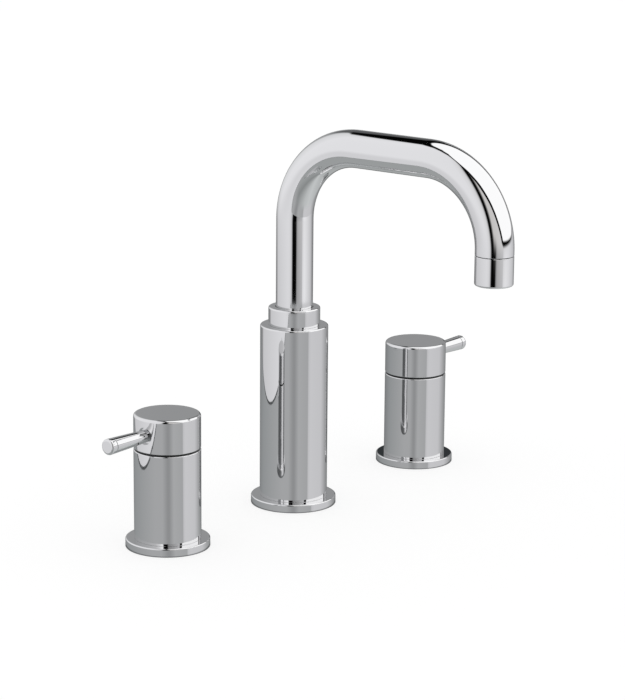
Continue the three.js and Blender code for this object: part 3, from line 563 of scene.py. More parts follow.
def add_node(tree, kind, inputs=None, **attributes):
    """Adds a node, sets its attributes, and sets each socket to a value or links it. A node that is
    given for a socket stands for its first output in use."""
    node = tree.nodes.new(kind)
    for key, value in attributes.items():
        setattr(node, key, value)
    for key, source in (inputs or {}).items():
        if isinstance(source, bpy.types.Node):
            source = next(output for output in source.outputs if output.enabled)
        if isinstance(source, bpy.types.NodeSocket):
            tree.links.new(source, node.inputs[key])
        else:
            node.inputs[key].default_value = source
    return node


def new_material(name):
    """A material with no nodes yet."""
    material = bpy.data.materials.new(name)
    material.use_nodes = True
    material.node_tree.nodes.clear()
    return material


def per_metre(millimetres):
    """The texture scale whose features are about this many millimetres apart."""
    return 1 / (millimetres * MM)


def opaque(colour, share=1):
    """A colour, or a darker share of it, with full alpha."""
    return (*[share * part for part in colour], 1)


def polished_chrome(colour):
    """Chrome plated over polished brass: a cool mirror whose buffing leaves faint soft haze in patches."""
    tree = new_material(MATERIAL_NAMES["chrome_plate"]).node_tree
    place = add_node(tree, "ShaderNodeTexCoord").outputs["Object"]
    # A buffing wheel leaves patches about 30 mm across
    haze = add_node(tree, "ShaderNodeTexNoise", {"Vector": place, "Scale": per_metre(30), "Detail": 3})
    span = {"Value": haze, "From Min": 0.3, "From Max": 0.7, "To Min": 0.015, "To Max": 0.045}
    spread = add_node(tree, "ShaderNodeMapRange", span)
    look = {"Base Color": opaque(colour), "Metallic": 1, "Roughness": spread}
    shader = add_node(tree, "ShaderNodeBsdfPrincipled", look)
    add_node(tree, "ShaderNodeOutputMaterial", {"Surface": shader})


def machined_brass(colour):
    """Brass as it leaves the lathe: yellow metal with fine tool rings round every turned face."""
    tree = new_material(MATERIAL_NAMES["brass"]).node_tree
    place = add_node(tree, "ShaderNodeTexCoord").outputs["Object"]
    # The noise is drawn out across Z, so that its grain becomes rings. They lie 0.4 mm apart, coarser
    # than a lathe's, so that they show
    stretch = add_node(tree, "ShaderNodeMapping", {"Vector": place, "Scale": (0.02, 0.02, 1)})
    rings = add_node(tree, "ShaderNodeTexNoise", {"Vector": stretch, "Scale": per_metre(0.4), "Detail": 2})
    # Handling leaves slightly darker patches, about 12 mm across
    patches = add_node(tree, "ShaderNodeTexNoise", {"Vector": place, "Scale": per_metre(12), "Detail": 4})
    shades = {"Factor": patches, "A": opaque(colour, PATCH_SHADE), "B": opaque(colour)}
    tint = add_node(tree, "ShaderNodeMix", shades, data_type="RGBA")
    spread = add_node(tree, "ShaderNodeMapRange", {"Value": rings, "To Min": 0.22, "To Max": 0.42})
    relief = add_node(tree, "ShaderNodeBump", {"Height": rings, "Strength": 0.25, "Distance": 0.02 * MM})
    look = {"Base Color": tint, "Metallic": 1, "Roughness": spread, "Normal": relief}
    shader = add_node(tree, "ShaderNodeBsdfPrincipled", look)
    add_node(tree, "ShaderNodeOutputMaterial", {"Surface": shader})


def turned_steel(colour):
    """Stainless steel washers and pins: grey metal, fine facing marks, slightly dull."""
    tree = new_material(MATERIAL_NAMES["stainless_steel"]).node_tree
    place = add_node(tree, "ShaderNodeTexCoord").outputs["Object"]
    marks = add_node(tree, "ShaderNodeTexNoise", {"Vector": place, "Scale": per_metre(0.6), "Detail": 3})
    spread = add_node(tree, "ShaderNodeMapRange", {"Value": marks, "To Min": 0.2, "To Max": 0.36})
    relief = add_node(tree, "ShaderNodeBump", {"Height": marks, "Strength": 0.15, "Distance": 0.01 * MM})
    look = {"Base Color": opaque(colour), "Metallic": 1, "Roughness": spread, "Normal": relief}
    shader = add_node(tree, "ShaderNodeBsdfPrincipled", look)
    add_node(tree, "ShaderNodeOutputMaterial", {"Surface": shader})


def dull_moulding(slot, colour, roughness, grain, depth):
    """A moulded or pressed surface: one colour with a fine grain that breaks its sheen. The roughness
    is given as its least and greatest, and the grain's size and depth in millimetres."""
    tree = new_material(MATERIAL_NAMES[slot]).node_tree
    place = add_node(tree, "ShaderNodeTexCoord").outputs["Object"]
    skin = add_node(tree, "ShaderNodeTexNoise", {"Vector": place, "Scale": per_metre(grain), "Detail": 3})
    shades = {"Factor": skin, "A": opaque(colour, GRAIN_SHADE), "B": opaque(colour)}
    tone = add_node(tree, "ShaderNodeMix", shades, data_type="RGBA")
    low, high = roughness
    spread = add_node(tree, "ShaderNodeMapRange", {"Value": skin, "To Min": low, "To Max": high})
    relief = add_node(tree, "ShaderNodeBump", {"Height": skin, "Strength": 0.2, "Distance": depth * MM})
    look = {"Base Color": tone, "Roughness": spread, "Normal": relief}
    shader = add_node(tree, "ShaderNodeBsdfPrincipled", look)
    add_node(tree, "ShaderNodeOutputMaterial", {"Surface": shader})


class MixFinishes(bpy.types.Operator):
    """Makes the faucet's materials and gives every node the one that its sub-part names"""

    bl_idname = "faucet.mix_finishes"
    bl_label = "Mix finishes"

    def execute(self, context):
        colours = context.scene.faucet_colours
        polished_chrome(colours.chrome)
        machined_brass(colours.brass)
        turned_steel(colours.steel)
        # Nitrile rubber: black, matt, with the fine grain of its mould
        dull_moulding("black_rubber", colours.rubber, (0.6, 0.8), 0.3, 0.02)
        # Acetal: black, close and satin, so that it looks slightly waxy
        dull_moulding("black_acetal", colours.acetal, (0.35, 0.5), 0.5, 0.01)
        # Alumina: lapped flat, an even cream that shines softly
        dull_moulding("alumina_ceramic", colours.ceramic, (0.12, 0.25), 0.2, 0.002)
        # White acetal: as satin as the black
        dull_moulding("white_plastic", colours.white_plastic, (0.35, 0.5), 0.5, 0.01)
        for row in frame["record"]["subparts"]:
            node = frame["nodes"][row["node"]]
            node.data.materials.clear()
            node.data.materials.append(bpy.data.materials[MATERIAL_NAMES[row["material_slot"]]])
        return {"FINISHED"}


class TurnFlanges(bpy.types.Operator):
    """Turns the three flanges, each with the groove for its base gasket, and the gaskets"""

    bl_idname = "faucet.turn_flanges"
    bl_label = "Turn flanges"

    def execute(self, context):
        sizes = context.scene.faucet_columns
        depth = sizes.groove_depth
        for station in STATIONS:
            node = f"{station}_flange"
            gasket = f"{station}_base_gasket"
            foot = station_centre(station)
            radius = half_width(node)
            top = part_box(node)[1].z
            bore = shaft_radius(station) + sizes.fit
            outer = half_width(gasket) + sizes.fit
            inner = outer - sizes.groove_width
            groove = [(inner, 0), (inner, depth), (outer, depth), (outer, 0)]
            stations = [(bore, 0), *groove, (radius, 0), (radius, top), (bore, top)]
            rims = [
                (radius, top, sizes.flange_edge, sizes.edge_steps),
                (radius, 0, sizes.flange_foot_edge, sizes.edge_steps),
            ]
            make_turned(f"{station}_flange_plated", node, "chrome_plate", stations, foot, sizes.sides, rims)

            outer = half_width(gasket)
            inner += sizes.fit
            stations = [(inner, 0), (outer, 0), (outer, depth), (inner, depth)]
            make_turned(f"{station}_gasket_moulded", gasket, "black_rubber", stations, foot, sizes.sides)
        return {"FINISHED"}


class TurnSleeves(bpy.types.Operator):
    """Turns the column sleeves and the spout's collar"""

    bl_idname = "faucet.turn_sleeves"
    bl_label = "Turn sleeves"

    def sleeve(self, sizes, station, upper_edge, inside):
        """A sleeve, given how its upper rim is rounded and its inside from the top down."""
        node = f"{station}_sleeve"
        low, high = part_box(node)
        radius = half_width(node)
        bore = radius - sizes.sleeve_wall
        stations = [(bore, low.z), (radius, low.z), (radius, high.z), *inside]
        rims = [
            (radius, high.z, upper_edge, sizes.edge_steps),
            (radius, low.z, sizes.sleeve_foot_edge, sizes.edge_steps),
        ]
        foot = station_centre(station)
        make_turned(f"{node}_plated", node, "chrome_plate", stations, foot, sizes.sides, rims)

    def valve_sleeve(self, sizes, station):
        """A sleeve with the inner shelf that its ring nut presses on."""
        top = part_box(f"{station}_sleeve")[1].z
        bore = half_width(f"{station}_sleeve") - sizes.sleeve_wall
        shelf_bore = shaft_radius(station) + sizes.fit
        shelf_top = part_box(f"{station}_ring_nut")[0].z
        shelf_foot = shelf_top - sizes.shelf
        shelf = [(bore, shelf_top), (shelf_bore, shelf_top), (shelf_bore, shelf_foot), (bore, shelf_foot)]
        self.sleeve(sizes, station, sizes.valve_sleeve_edge, [(bore, top), *shelf])

    def spout_sleeve(self, sizes, skirt):
        """The tall sleeve, with a narrower mouth that the collar's skirt slides through."""
        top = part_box("spout_sleeve")[1].z
        bore = half_width("spout_sleeve") - sizes.sleeve_wall
        mouth = skirt + sizes.fit
        inside = [(mouth, top), (mouth, top - sizes.shelf), (bore, top - sizes.shelf)]
        self.sleeve(sizes, "spout", sizes.spout_sleeve_edge, inside)

    def collar(self, sizes, skirt):
        """The collar, whose lip closes on the tube and whose skirt hangs inside the sleeve."""
        node = "spout_collar"
        low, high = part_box(node)
        radius = half_width(node)
        cavity = skirt - sizes.collar_skirt
        bore = sizes.collar_bore
        seat = high.z - sizes.collar_height
        lip_foot = high.z - sizes.collar_lip
        outside = [(cavity, low.z), (skirt, low.z), (skirt, seat), (radius, seat), (radius, high.z)]
        stations = [*outside, (bore, high.z), (bore, lip_foot), (cavity, lip_foot)]
        rims = [
            (radius, high.z, sizes.collar_edge, sizes.edge_steps),
            (radius, seat, sizes.collar_foot_edge, sizes.edge_steps),
            (bore, high.z, sizes.collar_foot_edge, sizes.edge_steps),
        ]
        foot = station_centre("spout")
        make_turned(f"{node}_plated", node, "chrome_plate", stations, foot, sizes.sides, rims)

    def execute(self, context):
        sizes = context.scene.faucet_columns
        for station in LEVER_WAYS:
            self.valve_sleeve(sizes, station)
        skirt = half_width("spout_swivel_bush") + 2 * sizes.fit + sizes.collar_skirt
        self.spout_sleeve(sizes, skirt)
        self.collar(sizes, skirt)
        return {"FINISHED"}


class TurnHubs(bpy.types.Operator):
    """Turns the hubs and cuts the socket of each lever, and turns the dark glide rings under them"""

    bl_idname = "faucet.turn_hubs"
    bl_label = "Turn hubs"

    def glide_ring(self, columns, station):
        """An L-shaped ring: its flange lies in the gap and its skirt hangs in the sleeve."""
        node = f"{station}_glide_ring"
        low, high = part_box(node)
        outer = half_width(node)
        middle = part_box(f"{station}_sleeve")[1].z
        skirt = half_width(f"{station}_sleeve") - columns.sleeve_wall - columns.fit
        inner = skirt - columns.glide_wall
        outside = [(inner, low.z), (skirt, low.z), (skirt, middle), (outer, middle), (outer, high.z)]
        stations = [*outside, (inner, high.z)]
        foot = station_centre(station)
        make_turned(f"{station}_glide_moulded", node, "black_acetal", stations, foot, columns.sides)

    def hub_blank(self, columns, sizes, station):
        """A hub with its cavity and the boss that the spindle's spline goes into."""
        node = f"{station}_hub"
        foot = station_centre(station)
        low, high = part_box(node)
        radius = half_width(node)
        cavity = radius - sizes.hub_wall
        crown = high.z - sizes.hub_crown
        boss_foot = low.z + sizes.boss_height
        socket_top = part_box(f"{station}_spindle")[1].z + columns.fit
        stations = [
            (sizes.spline_socket, socket_top),
            (sizes.spline_socket, boss_foot),
            (sizes.boss_radius, boss_foot),
            (sizes.boss_radius, crown),
            (cavity, crown),
            (cavity, low.z),
            (radius, low.z),
            (radius, high.z),
        ]
        hub = turn_piece(f"{station}_hub_plated", stations, foot, columns.sides, hollow=False)
        rims = [
            (radius, high.z, sizes.hub_edge, columns.edge_steps),
            (radius, low.z, sizes.hub_foot_edge, columns.edge_steps),
        ]
        round_rims(hub, foot, rims)
        return hub

    def socket_cutter(self, sizes, station):
        """The stepped drill that leaves the stud's hole and the lever's socket."""
        radius = half_width(f"{station}_hub")
        seat = radius - sizes.socket_depth
        stations = [
            (sizes.stud_hole, sizes.spline_socket / 2),
            (sizes.stud_hole, seat),
            (sizes.socket_radius, seat),
            (sizes.socket_radius, radius + 2 * OVERRUN),
        ]
        middle = axis_point(station, f"{station}_lever")
        way = LEVER_WAYS[station]
        return turn_piece("socket cutter", stations, middle, sizes.lever_sides, axis=way, hollow=False)

    def execute(self, context):
        columns = context.scene.faucet_columns
        sizes = context.scene.faucet_handles
        for station in LEVER_WAYS:
            self.glide_ring(columns, station)
            hub = self.hub_blank(columns, sizes, station)
            cut_with(hub, self.socket_cutter(sizes, station), solver="EXACT")
            finish_piece(hub, f"{station}_hub", "chrome_plate")
        return {"FINISHED"}


class TurnLevers(bpy.types.Operator):
    """Turns each lever, which widens outwards, and the cap on its end"""

    bl_idname = "faucet.turn_levers"
    bl_label = "Turn levers"

    def execute(self, context):
        sizes = context.scene.faucet_handles
        fit = context.scene.faucet_columns.fit
        steps = context.scene.faucet_columns.edge_steps
        for station, way in LEVER_WAYS.items():
            low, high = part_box(f"{station}_lever")
            cap_low, cap_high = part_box(f"{station}_lever_cap")
            axis_x = station_centre(station).x
            middle = axis_point(station, f"{station}_lever")
            foot = min(abs(low.x - axis_x), abs(high.x - axis_x))
            seam = max(abs(low.x - axis_x), abs(high.x - axis_x)) - sizes.spigot_length
            reach = max(abs(cap_low.x - axis_x), abs(cap_high.x - axis_x))
            slope = (sizes.lever_tip - sizes.lever_root) / (reach - foot)
            seam_radius = sizes.lever_root + slope * (seam - foot)
            stations = [
                (sizes.stud_hole, foot + sizes.stud_grip + fit),
                (sizes.stud_hole, foot),
                (sizes.lever_root, foot),
                (seam_radius, seam),
                (sizes.spigot_radius, seam),
                (sizes.spigot_radius, seam + sizes.spigot_length),
            ]
            rims = [
                (sizes.lever_root, foot, sizes.lever_root_edge, sizes.seam_steps),
                (seam_radius, seam, sizes.seam_edge, sizes.seam_steps),
            ]
            form = {"foot": middle, "sides": sizes.lever_sides, "axis": way, "hollow": False}
            node = f"{station}_lever"
            make_turned(f"{station}_lever_plated", node, "chrome_plate", stations, rims=rims, **form)

            cap_foot = seam + fit
            hole = sizes.spigot_radius + fit
            hole_end = seam + sizes.spigot_length + fit
            cap_radius = sizes.lever_root + slope * (cap_foot - foot)
            tip = sizes.lever_tip
            stations = [(hole, hole_end), (hole, cap_foot), (cap_radius, cap_foot), (tip, reach)]
            rims = [
                (cap_radius, cap_foot, sizes.seam_edge, sizes.seam_steps),
                (tip, reach, sizes.lever_edge, steps),
            ]
            node = f"{station}_lever_cap"
            make_turned(f"{station}_cap_plated", node, "chrome_plate", stations, rims=rims, **form)
        return {"FINISHED"}


class BendSpout(bpy.types.Operator):
    """Bends the spout's tube from one ring: up, round, along, round and down, then gives it its wall"""

    bl_idname = "faucet.bend_spout"
    bl_label = "Bend spout"

    def execute(self, context):
        sizes = context.scene.faucet_spout
        low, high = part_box("spout_tube")
        radius = (high.x - low.x) / 2
        riser_top = high.z - radius - sizes.bend_radius
        reach = -low.y - radius
        run_end = -(reach - sizes.bend_radius)
        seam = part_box("aerator_housing")[0].z + sizes.aerator_height + sizes.seam_gap
        tube = draw_ring("spout_tube_plated", radius, UP * low.z, UP, sizes.sides)
        open_edit(tube)
        quarter = {"steps": sizes.bend_steps, "angle": math.radians(90), "axis": (-1, 0, 0)}
        extrude(UP * (riser_top - low.z))
        bpy.ops.mesh.spin(center=(0, -sizes.bend_radius, riser_top), **quarter)
        extrude(ALONG_Y * (run_end + sizes.bend_radius))
        bpy.ops.mesh.spin(center=(0, run_end, riser_top), **quarter)
        extrude(UP * (seam - riser_top))
        bpy.ops.mesh.select_all(action="SELECT")
        bpy.ops.mesh.remove_doubles(threshold=WELD)
        face_outwards()
        close_edit()
        apply_modifier(tube, "SOLIDIFY", thickness=sizes.wall, offset=-1, use_even_offset=True)
        round_rims(tube, ALONG_Y * -reach, [(radius, seam, sizes.rim_edge, sizes.seam_steps)])
        finish_piece(tube, "spout_tube", "chrome_plate")
        return {"FINISHED"}


class TurnAerator(bpy.types.Operator):
    """Turns the aerator's housing at the outlet"""

    bl_idname = "faucet.turn_aerator"
    bl_label = "Turn aerator"

    def execute(self, context):
        sizes = context.scene.faucet_spout
        columns = context.scene.faucet_columns
        low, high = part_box("aerator_housing")
        radius = (high.x - low.x) / 2
        foot = Vector((0, (low.y + high.y) / 2, 0))
        seam = low.z + sizes.aerator_height
        top = seam + sizes.aerator_spigot
        spigot = radius - sizes.wall - columns.fit
        bore = spigot - sizes.aerator_wall
        mouth = bore - sizes.aerator_lip
        lip_top = low.z + sizes.aerator_lip_height
        outside = [(mouth, low.z), (radius, low.z), (radius, seam), (spigot, seam), (spigot, top)]
        stations = [*outside, (bore, top), (bore, lip_top), (mouth, lip_top)]
        rims = [
            (radius, low.z, sizes.aerator_edge, columns.edge_steps),
            (radius, seam, sizes.seam_edge, sizes.seam_steps),
        ]
        name = "aerator_housing_plated"
        make_turned(name, "aerator_housing", "chrome_plate", stations, foot, sizes.sides, rims)
        return {"FINISHED"}


class TurnBodies(bpy.types.Operator):
    """Turns the threaded valve bodies, drills their passages, and turns the outlet nipples"""

    bl_idname = "faucet.turn_bodies"
    bl_label = "Turn valve bodies"

    def body(self, sizes, station, port):
        """A body: inlet thread, block, clamping thread, neck and the thread of the ring nut."""
        node = f"{station}_valve_body"
        foot = station_centre(station)
        shaft = shaft_radius(station)
        neck = shaft - sizes.chamfer
        low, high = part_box(node)
        block = sizes.block_radius
        block_foot = low.z + sizes.inlet_length
        block_top = block_foot + sizes.block_length
        nut_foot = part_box(f"{station}_ring_nut")[0].z
        course = [
            (sizes.inlet_bore, low.z),
            (sizes.pipe_radius - sizes.chamfer, low.z),
            (sizes.pipe_radius, low.z + sizes.chamfer, block_foot - sizes.relief, sizes.pipe_pitch),
            (sizes.pipe_radius - THREAD_DEPTH * sizes.pipe_pitch, block_foot),
            (block, block_foot),
            (block, block_top),
            (shaft - THREAD_DEPTH * sizes.shaft_pitch, block_top),
            (shaft, block_top + sizes.relief, sizes.lower_thread_top, sizes.shaft_pitch),
            (neck, sizes.lower_thread_top + sizes.relief),
            (neck, nut_foot - 2 * sizes.relief),
            (shaft, nut_foot - sizes.relief, high.z - sizes.chamfer, sizes.shaft_pitch),
            (neck, high.z),
            (sizes.barrel_bore, high.z),
            (sizes.barrel_bore, sizes.seat_height),
            (sizes.inlet_bore, sizes.seat_height),
        ]
        body = turn_threaded(f"{node}_turned", course, foot, sizes.sides)
        edge = (sizes.block_edge, sizes.edge_steps)
        round_rims(body, foot, [(block, block_foot, *edge), (block, block_top, *edge)])
        cut_flats(body, foot, sizes.block_flats, 2, ALONG_Y)
        out = -LEVER_WAYS[station]
        bore = sizes.passage_radius
        passage = [(bore, port.z), (bore, sizes.seat_height + OVERRUN)]
        drill(body, passage, foot + out * sizes.passage_offset, "narrow")
        port_floor = block - sizes.port_depth
        inner = [(bore, sizes.passage_offset), (bore, port_floor)]
        outer = [(sizes.port_radius, port_floor), (sizes.port_radius, block + OVERRUN)]
        drill(body, inner + outer, port, "middle", out)
        finish_piece(body, node, "brass")

    def nipple(self, sizes, station, port):
        """A nipple: its end in the port, a hexagon and a hose thread."""
        node = f"{station}_outlet_nipple"
        low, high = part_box(node)
        inner, outer = sorted((abs(low.x - port.x), abs(high.x - port.x)))
        across = min(high.y - low.y, high.z - low.z)
        corner = max(high.y - low.y, high.z - low.z) / 2
        cut_corner = corner - CORNER_SLANT * sizes.hex_corner
        hex_foot = inner + sizes.spigot_length
        hex_top = hex_foot + sizes.nipple_hex
        course = [
            (sizes.hose_bore, inner),
            (sizes.spigot_radius, inner),
            (sizes.spigot_radius, hex_foot),
            (cut_corner, hex_foot),
            (corner, hex_foot + sizes.hex_corner),
            (corner, hex_top - sizes.hex_corner),
            (cut_corner, hex_top),
            (sizes.hose_radius - THREAD_DEPTH * sizes.hose_pitch, hex_top),
            (sizes.hose_radius, hex_top + sizes.relief, outer - sizes.chamfer, sizes.hose_pitch),
            (sizes.hose_radius - sizes.chamfer, outer),
            (sizes.hose_bore, outer),
        ]
        out = -LEVER_WAYS[station]
        nipple = turn_threaded(f"{node}_turned", course, port, sizes.sides, axis=out)
        first = UP if high.z - low.z < high.y - low.y else ALONG_Y
        cut_flats(nipple, port, across, 6, first, axis=out)
        finish_piece(nipple, node, "brass")

    def execute(self, context):
        sizes = context.scene.faucet_hardware
        for station in LEVER_WAYS:
            port = axis_point(station, f"{station}_outlet_nipple")
            self.body(sizes, station, port)
            self.nipple(sizes, station, port)
        return {"FINISHED"}


class TurnPillar(bpy.types.Operator):
    """Turns the pillar that the spout swivels on and cuts its stop slot"""

    bl_idname = "faucet.turn_pillar"
    bl_label = "Turn pillar"

    def slot_cutter(self, sizes):
        """A face spun round the axis, which leaves what a milling cutter would."""
        reach = sizes.crown_radius + OVERRUN - sizes.slot_radius
        height = sizes.slot_depth + OVERRUN
        middle = Vector((0, -(sizes.slot_radius + reach / 2), sizes.crown_top + OVERRUN - height / 2))
        bpy.ops.object.select_all(action="DESELECT")
        bpy.ops.mesh.primitive_plane_add(size=1, location=middle, rotation=(0, math.radians(90), 0))
        cutter = bpy.context.object
        bpy.ops.object.transform_apply(location=True, rotation=True, scale=True)
        open_edit(cutter)
        bpy.ops.transform.resize(value=(1, reach, height), center_override=middle)
        start = Matrix.Rotation(-sizes.slot_turn / 2, 3, "Z")
        mesh = bmesh.from_edit_mesh(cutter.data)
        for corner in mesh.verts:
            corner.co = start @ corner.co
        bmesh.update_edit_mesh(cutter.data)
        bpy.ops.mesh.spin(
            steps=sizes.slot_steps, angle=sizes.slot_turn, center=(0, 0, 0), axis=(0, 0, -1)
        )
        bpy.ops.mesh.select_all(action="SELECT")
        bpy.ops.mesh.remove_doubles(threshold=WELD)
        face_outwards()
        close_edit()
        return cutter

    def execute(self, context):
        sizes = context.scene.faucet_hardware
        fit = context.scene.faucet_columns.fit
        shaft = shaft_radius("spout")
        low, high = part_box("spout_pillar")
        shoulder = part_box("spout_flange")[1].z
        shoulder_top = shoulder + sizes.shoulder_height
        shank_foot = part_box("spout_inlet_tee")[1].z
        crown_foot = sizes.crown_top - sizes.crown_height
        pipe = sizes.pipe_radius
        swivel = sizes.swivel_radius
        course = [
            (sizes.pillar_bore, low.z),
            (pipe - sizes.chamfer, low.z),
            (pipe, low.z + sizes.chamfer, shank_foot - sizes.relief, sizes.pipe_pitch),
            (pipe - THREAD_DEPTH * sizes.pipe_pitch, shank_foot + fit),
            (shaft - sizes.chamfer, shank_foot + fit),
            (shaft, shank_foot + fit + sizes.chamfer, shoulder - 2 * sizes.relief, sizes.shaft_pitch),
            (shaft - THREAD_DEPTH * sizes.shaft_pitch, shoulder),
            (sizes.pillar_shoulder, shoulder),
            (sizes.pillar_shoulder, shoulder_top),
            (sizes.stem_radius, shoulder_top),
            (sizes.stem_radius, crown_foot),
            (sizes.crown_radius, crown_foot),
            (sizes.crown_radius, sizes.crown_top),
            (swivel, sizes.crown_top),
        ]
        for ring in ("spout_lower_oring", "spout_upper_oring"):
            middle = axis_point("spout", ring).z
            groove_foot = middle - sizes.ring_groove_width / 2
            groove_top = middle + sizes.ring_groove_width / 2
            course += [(swivel, groove_foot), (sizes.ring_groove, groove_foot)]
            course += [(sizes.ring_groove, groove_top), (swivel, groove_top)]
        course += [(swivel, high.z - sizes.chamfer), (swivel - sizes.chamfer, high.z)]
        course += [(sizes.pillar_bore, high.z)]
        pillar = turn_threaded("spout_pillar_turned", course, Vector(), sizes.sides)
        cut_with(pillar, self.slot_cutter(sizes))
        finish_piece(pillar, "spout_pillar", "brass")
        return {"FINISHED"}


class TurnTee(bpy.types.Operator):
    """Turns the inlet tee, with a threaded arm for each hose"""

    bl_idname = "faucet.turn_tee"
    bl_label = "Turn tee"

    def execute(self, context):
        sizes = context.scene.faucet_hardware
        fit = context.scene.faucet_columns.fit
        low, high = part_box("spout_inlet_tee")
        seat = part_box("spout_tee_washer")[0].z
        radius = sizes.tee_radius
        chamfer = sizes.chamfer
        stations = [
            (radius - chamfer, low.z),
            (radius, low.z + chamfer),
            (radius, high.z - chamfer),
            (radius - chamfer, high.z),
        ]
        tee = turn_piece("spout_inlet_tee_turned", stations, Vector(), sizes.sides, hollow=False)
        cut_flats(tee, Vector(), sizes.tee_flats, 2, ALONG_Y)
        middle = UP * (low.z + sizes.tee_arm_height)
        end = high.x
        neck = radius + 2 * sizes.relief
        hose = sizes.hose_radius
        course = [
            (hose - chamfer, -end),
            (hose, chamfer - end, -neck, sizes.hose_pitch),
            (hose, neck, end - chamfer, sizes.hose_pitch),
            (hose - chamfer, end),
        ]
        arms = turn_threaded("tee arms", course, middle, sizes.sides, axis=ALONG_X, hollow=False)
        cut_with(tee, arms, "UNION")
        mouth = sizes.pipe_radius + fit
        chamber = [(sizes.tee_chamber, low.z + sizes.tee_floor), (sizes.tee_chamber, seat)]
        drill(tee, [*chamber, (mouth, seat), (mouth, high.z + OVERRUN)], Vector(), "wide")
        bore = [(sizes.hose_bore, -end - OVERRUN), (sizes.hose_bore, end + OVERRUN)]
        drill(tee, bore, middle, "middle", ALONG_X)
        finish_piece(tee, "spout_inlet_tee", "brass")
        return {"FINISHED"}


class StackClamps(bpy.types.Operator):
    """Makes the rubber washer, steel washer and hexagonal locknut that clamp each station to the deck"""

    bl_idname = "faucet.stack_clamps"
    bl_label = "Stack clamps"

    def washer(self, sizes, station, bore, kind, slot, edge):
        """A flat washer with rounded outer rims."""
        node = f"{station}_{kind}"
        low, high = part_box(node)
        radius = half_width(node)
        stations = [(bore, low.z), (radius, low.z), (radius, high.z), (bore, high.z)]
        rims = [(radius, low.z, edge, sizes.edge_steps), (radius, high.z, edge, sizes.edge_steps)]
        make_turned(f"{node}_finished", node, slot, stations, station_centre(station), sizes.sides, rims)

    def locknut(self, sizes, station, bore):
        """A hexagonal nut, its bore and its corners chamfered at both ends."""
        node = f"{station}_locknut"
        foot = station_centre(station)
        low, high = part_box(node)
        across = min(high.x - low.x, high.y - low.y)
        corner = max(high.x - low.x, high.y - low.y) / 2
        cut_corner = corner - CORNER_SLANT * sizes.hex_corner
        stations = [
            (bore, low.z + sizes.chamfer),
            (bore + sizes.chamfer, low.z),
            (cut_corner, low.z),
            (corner, low.z + sizes.hex_corner),
            (corner, high.z - sizes.hex_corner),
            (cut_corner, high.z),
            (bore + sizes.chamfer, high.z),
            (bore, high.z - sizes.chamfer),
        ]
        nut = turn_piece(f"{node}_cut", stations, foot, 2 * sizes.sides)
        first = ALONG_X if high.x - low.x < high.y - low.y else ALONG_Y
        cut_flats(nut, foot, across, 6, first)
        finish_piece(nut, node, "brass")

    def execute(self, context):
        sizes = context.scene.faucet_hardware
        for station in STATIONS:
            bore = shaft_radius(station) + context.scene.faucet_columns.fit
            self.washer(sizes, station, bore, "deck_washer", "black_rubber", sizes.rubber_edge)
            self.washer(sizes, station, bore, "steel_washer", "stainless_steel", sizes.steel_edge)
            self.locknut(sizes, station, bore)
        return {"FINISHED"}


class MouldInsert(bpy.types.Operator):
    """Moulds the aerator's insert: a cup whose floor is a fine grid"""

    bl_idname = "faucet.mould_insert"
    bl_label = "Mould insert"

    def execute(self, context):
        sizes = context.scene.faucet_spout
        low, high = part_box("aerator_insert")
        radius = (high.x - low.x) / 2
        foot = Vector(((low.x + high.x) / 2, (low.y + high.y) / 2, 0))
        floor = radius - sizes.insert_wall
        rings = sizes.insert_rings
        cells = [(floor * step / rings, low.z) for step in range(1, rings + 1)]
        place = foot + UP * low.z
        insert = draw_ring("aerator_insert_moulded", cells[0][0], place, UP, sizes.insert_spokes)
        open_edit(insert)
        bpy.ops.mesh.edge_face_add()
        bpy.ops.mesh.select_mode(type="VERT")
        grow_ring(cells, foot, UP)
        bpy.ops.mesh.select_mode(type="FACE")
        mesh = bmesh.from_edit_mesh(insert.data)
        for face in mesh.faces:
            face.select_set(len(face.verts) == 4)
        bmesh.update_edit_mesh(insert.data)
        bpy.ops.mesh.inset(thickness=sizes.insert_rib, use_individual=True)
        bpy.ops.mesh.delete(type="FACE")
        bpy.ops.mesh.select_mode(type="VERT")
        bpy.ops.mesh.select_all(action="DESELECT")
        mesh = bmesh.from_edit_mesh(insert.data)
        for corner in mesh.verts:
            corner.select_set(abs((corner.co - foot).xy.length - floor) < WELD)
        mesh.select_flush_mode()
        bmesh.update_edit_mesh(insert.data)
        grow_ring([(floor, low.z), (radius, low.z), (radius, high.z)], foot, UP)
        face_outwards()
        close_edit()
        apply_modifier(insert, "SOLIDIFY", thickness=sizes.insert_wall, offset=-1, use_even_offset=True)
        finish_piece(insert, "aerator_insert", "white_plastic")
        return {"FINISHED"}


# The light tent, in degrees of azimuth from +X towards +Y and of elevation over the deck. A table of
# tones goes round the tent once, as azimuths with their colours.
TABLE_TONES = (
    (-180, "#a4a5a6"), (-158, "#a4a5a6"), (-143, "#8f9091"), (-138, "#8f9091"), (-124, "#a8a9aa"),
    (-93, "#a3a4a5"), (-90, "#c0c0c2"), (-82, "#c8c8ca"), (-36, "#c4c4c6"), (-6, "#98999a"),
    (38, "#5c5e5e"), (62, "#7e8081"), (95, "#909394"), (180, "#a4a5a6"),
)
SHADED_TABLE_TONES = (
    (-180, "#7b7c7d"), (-150, "#6a6b6c"), (-100, "#6a6b6c"), (-85, "#c8c8c9"), (-60, "#dcdcdd"),
    (-36, "#dcdcdd"), (-14, "#7e7f80"), (20, "#5c5d5e"), (90, "#5c5d5e"), (150, "#848686"),
    (180, "#7b7c7d"),
)
STEEP_TONES = (
    (-180, "#9a9d9d"), (-152, "#888b8b"), (-95, "#b9bcbc"), (-60, "#c4c7c7"), (60, "#9c9f9f"),
    (180, "#9a9d9d"),
)
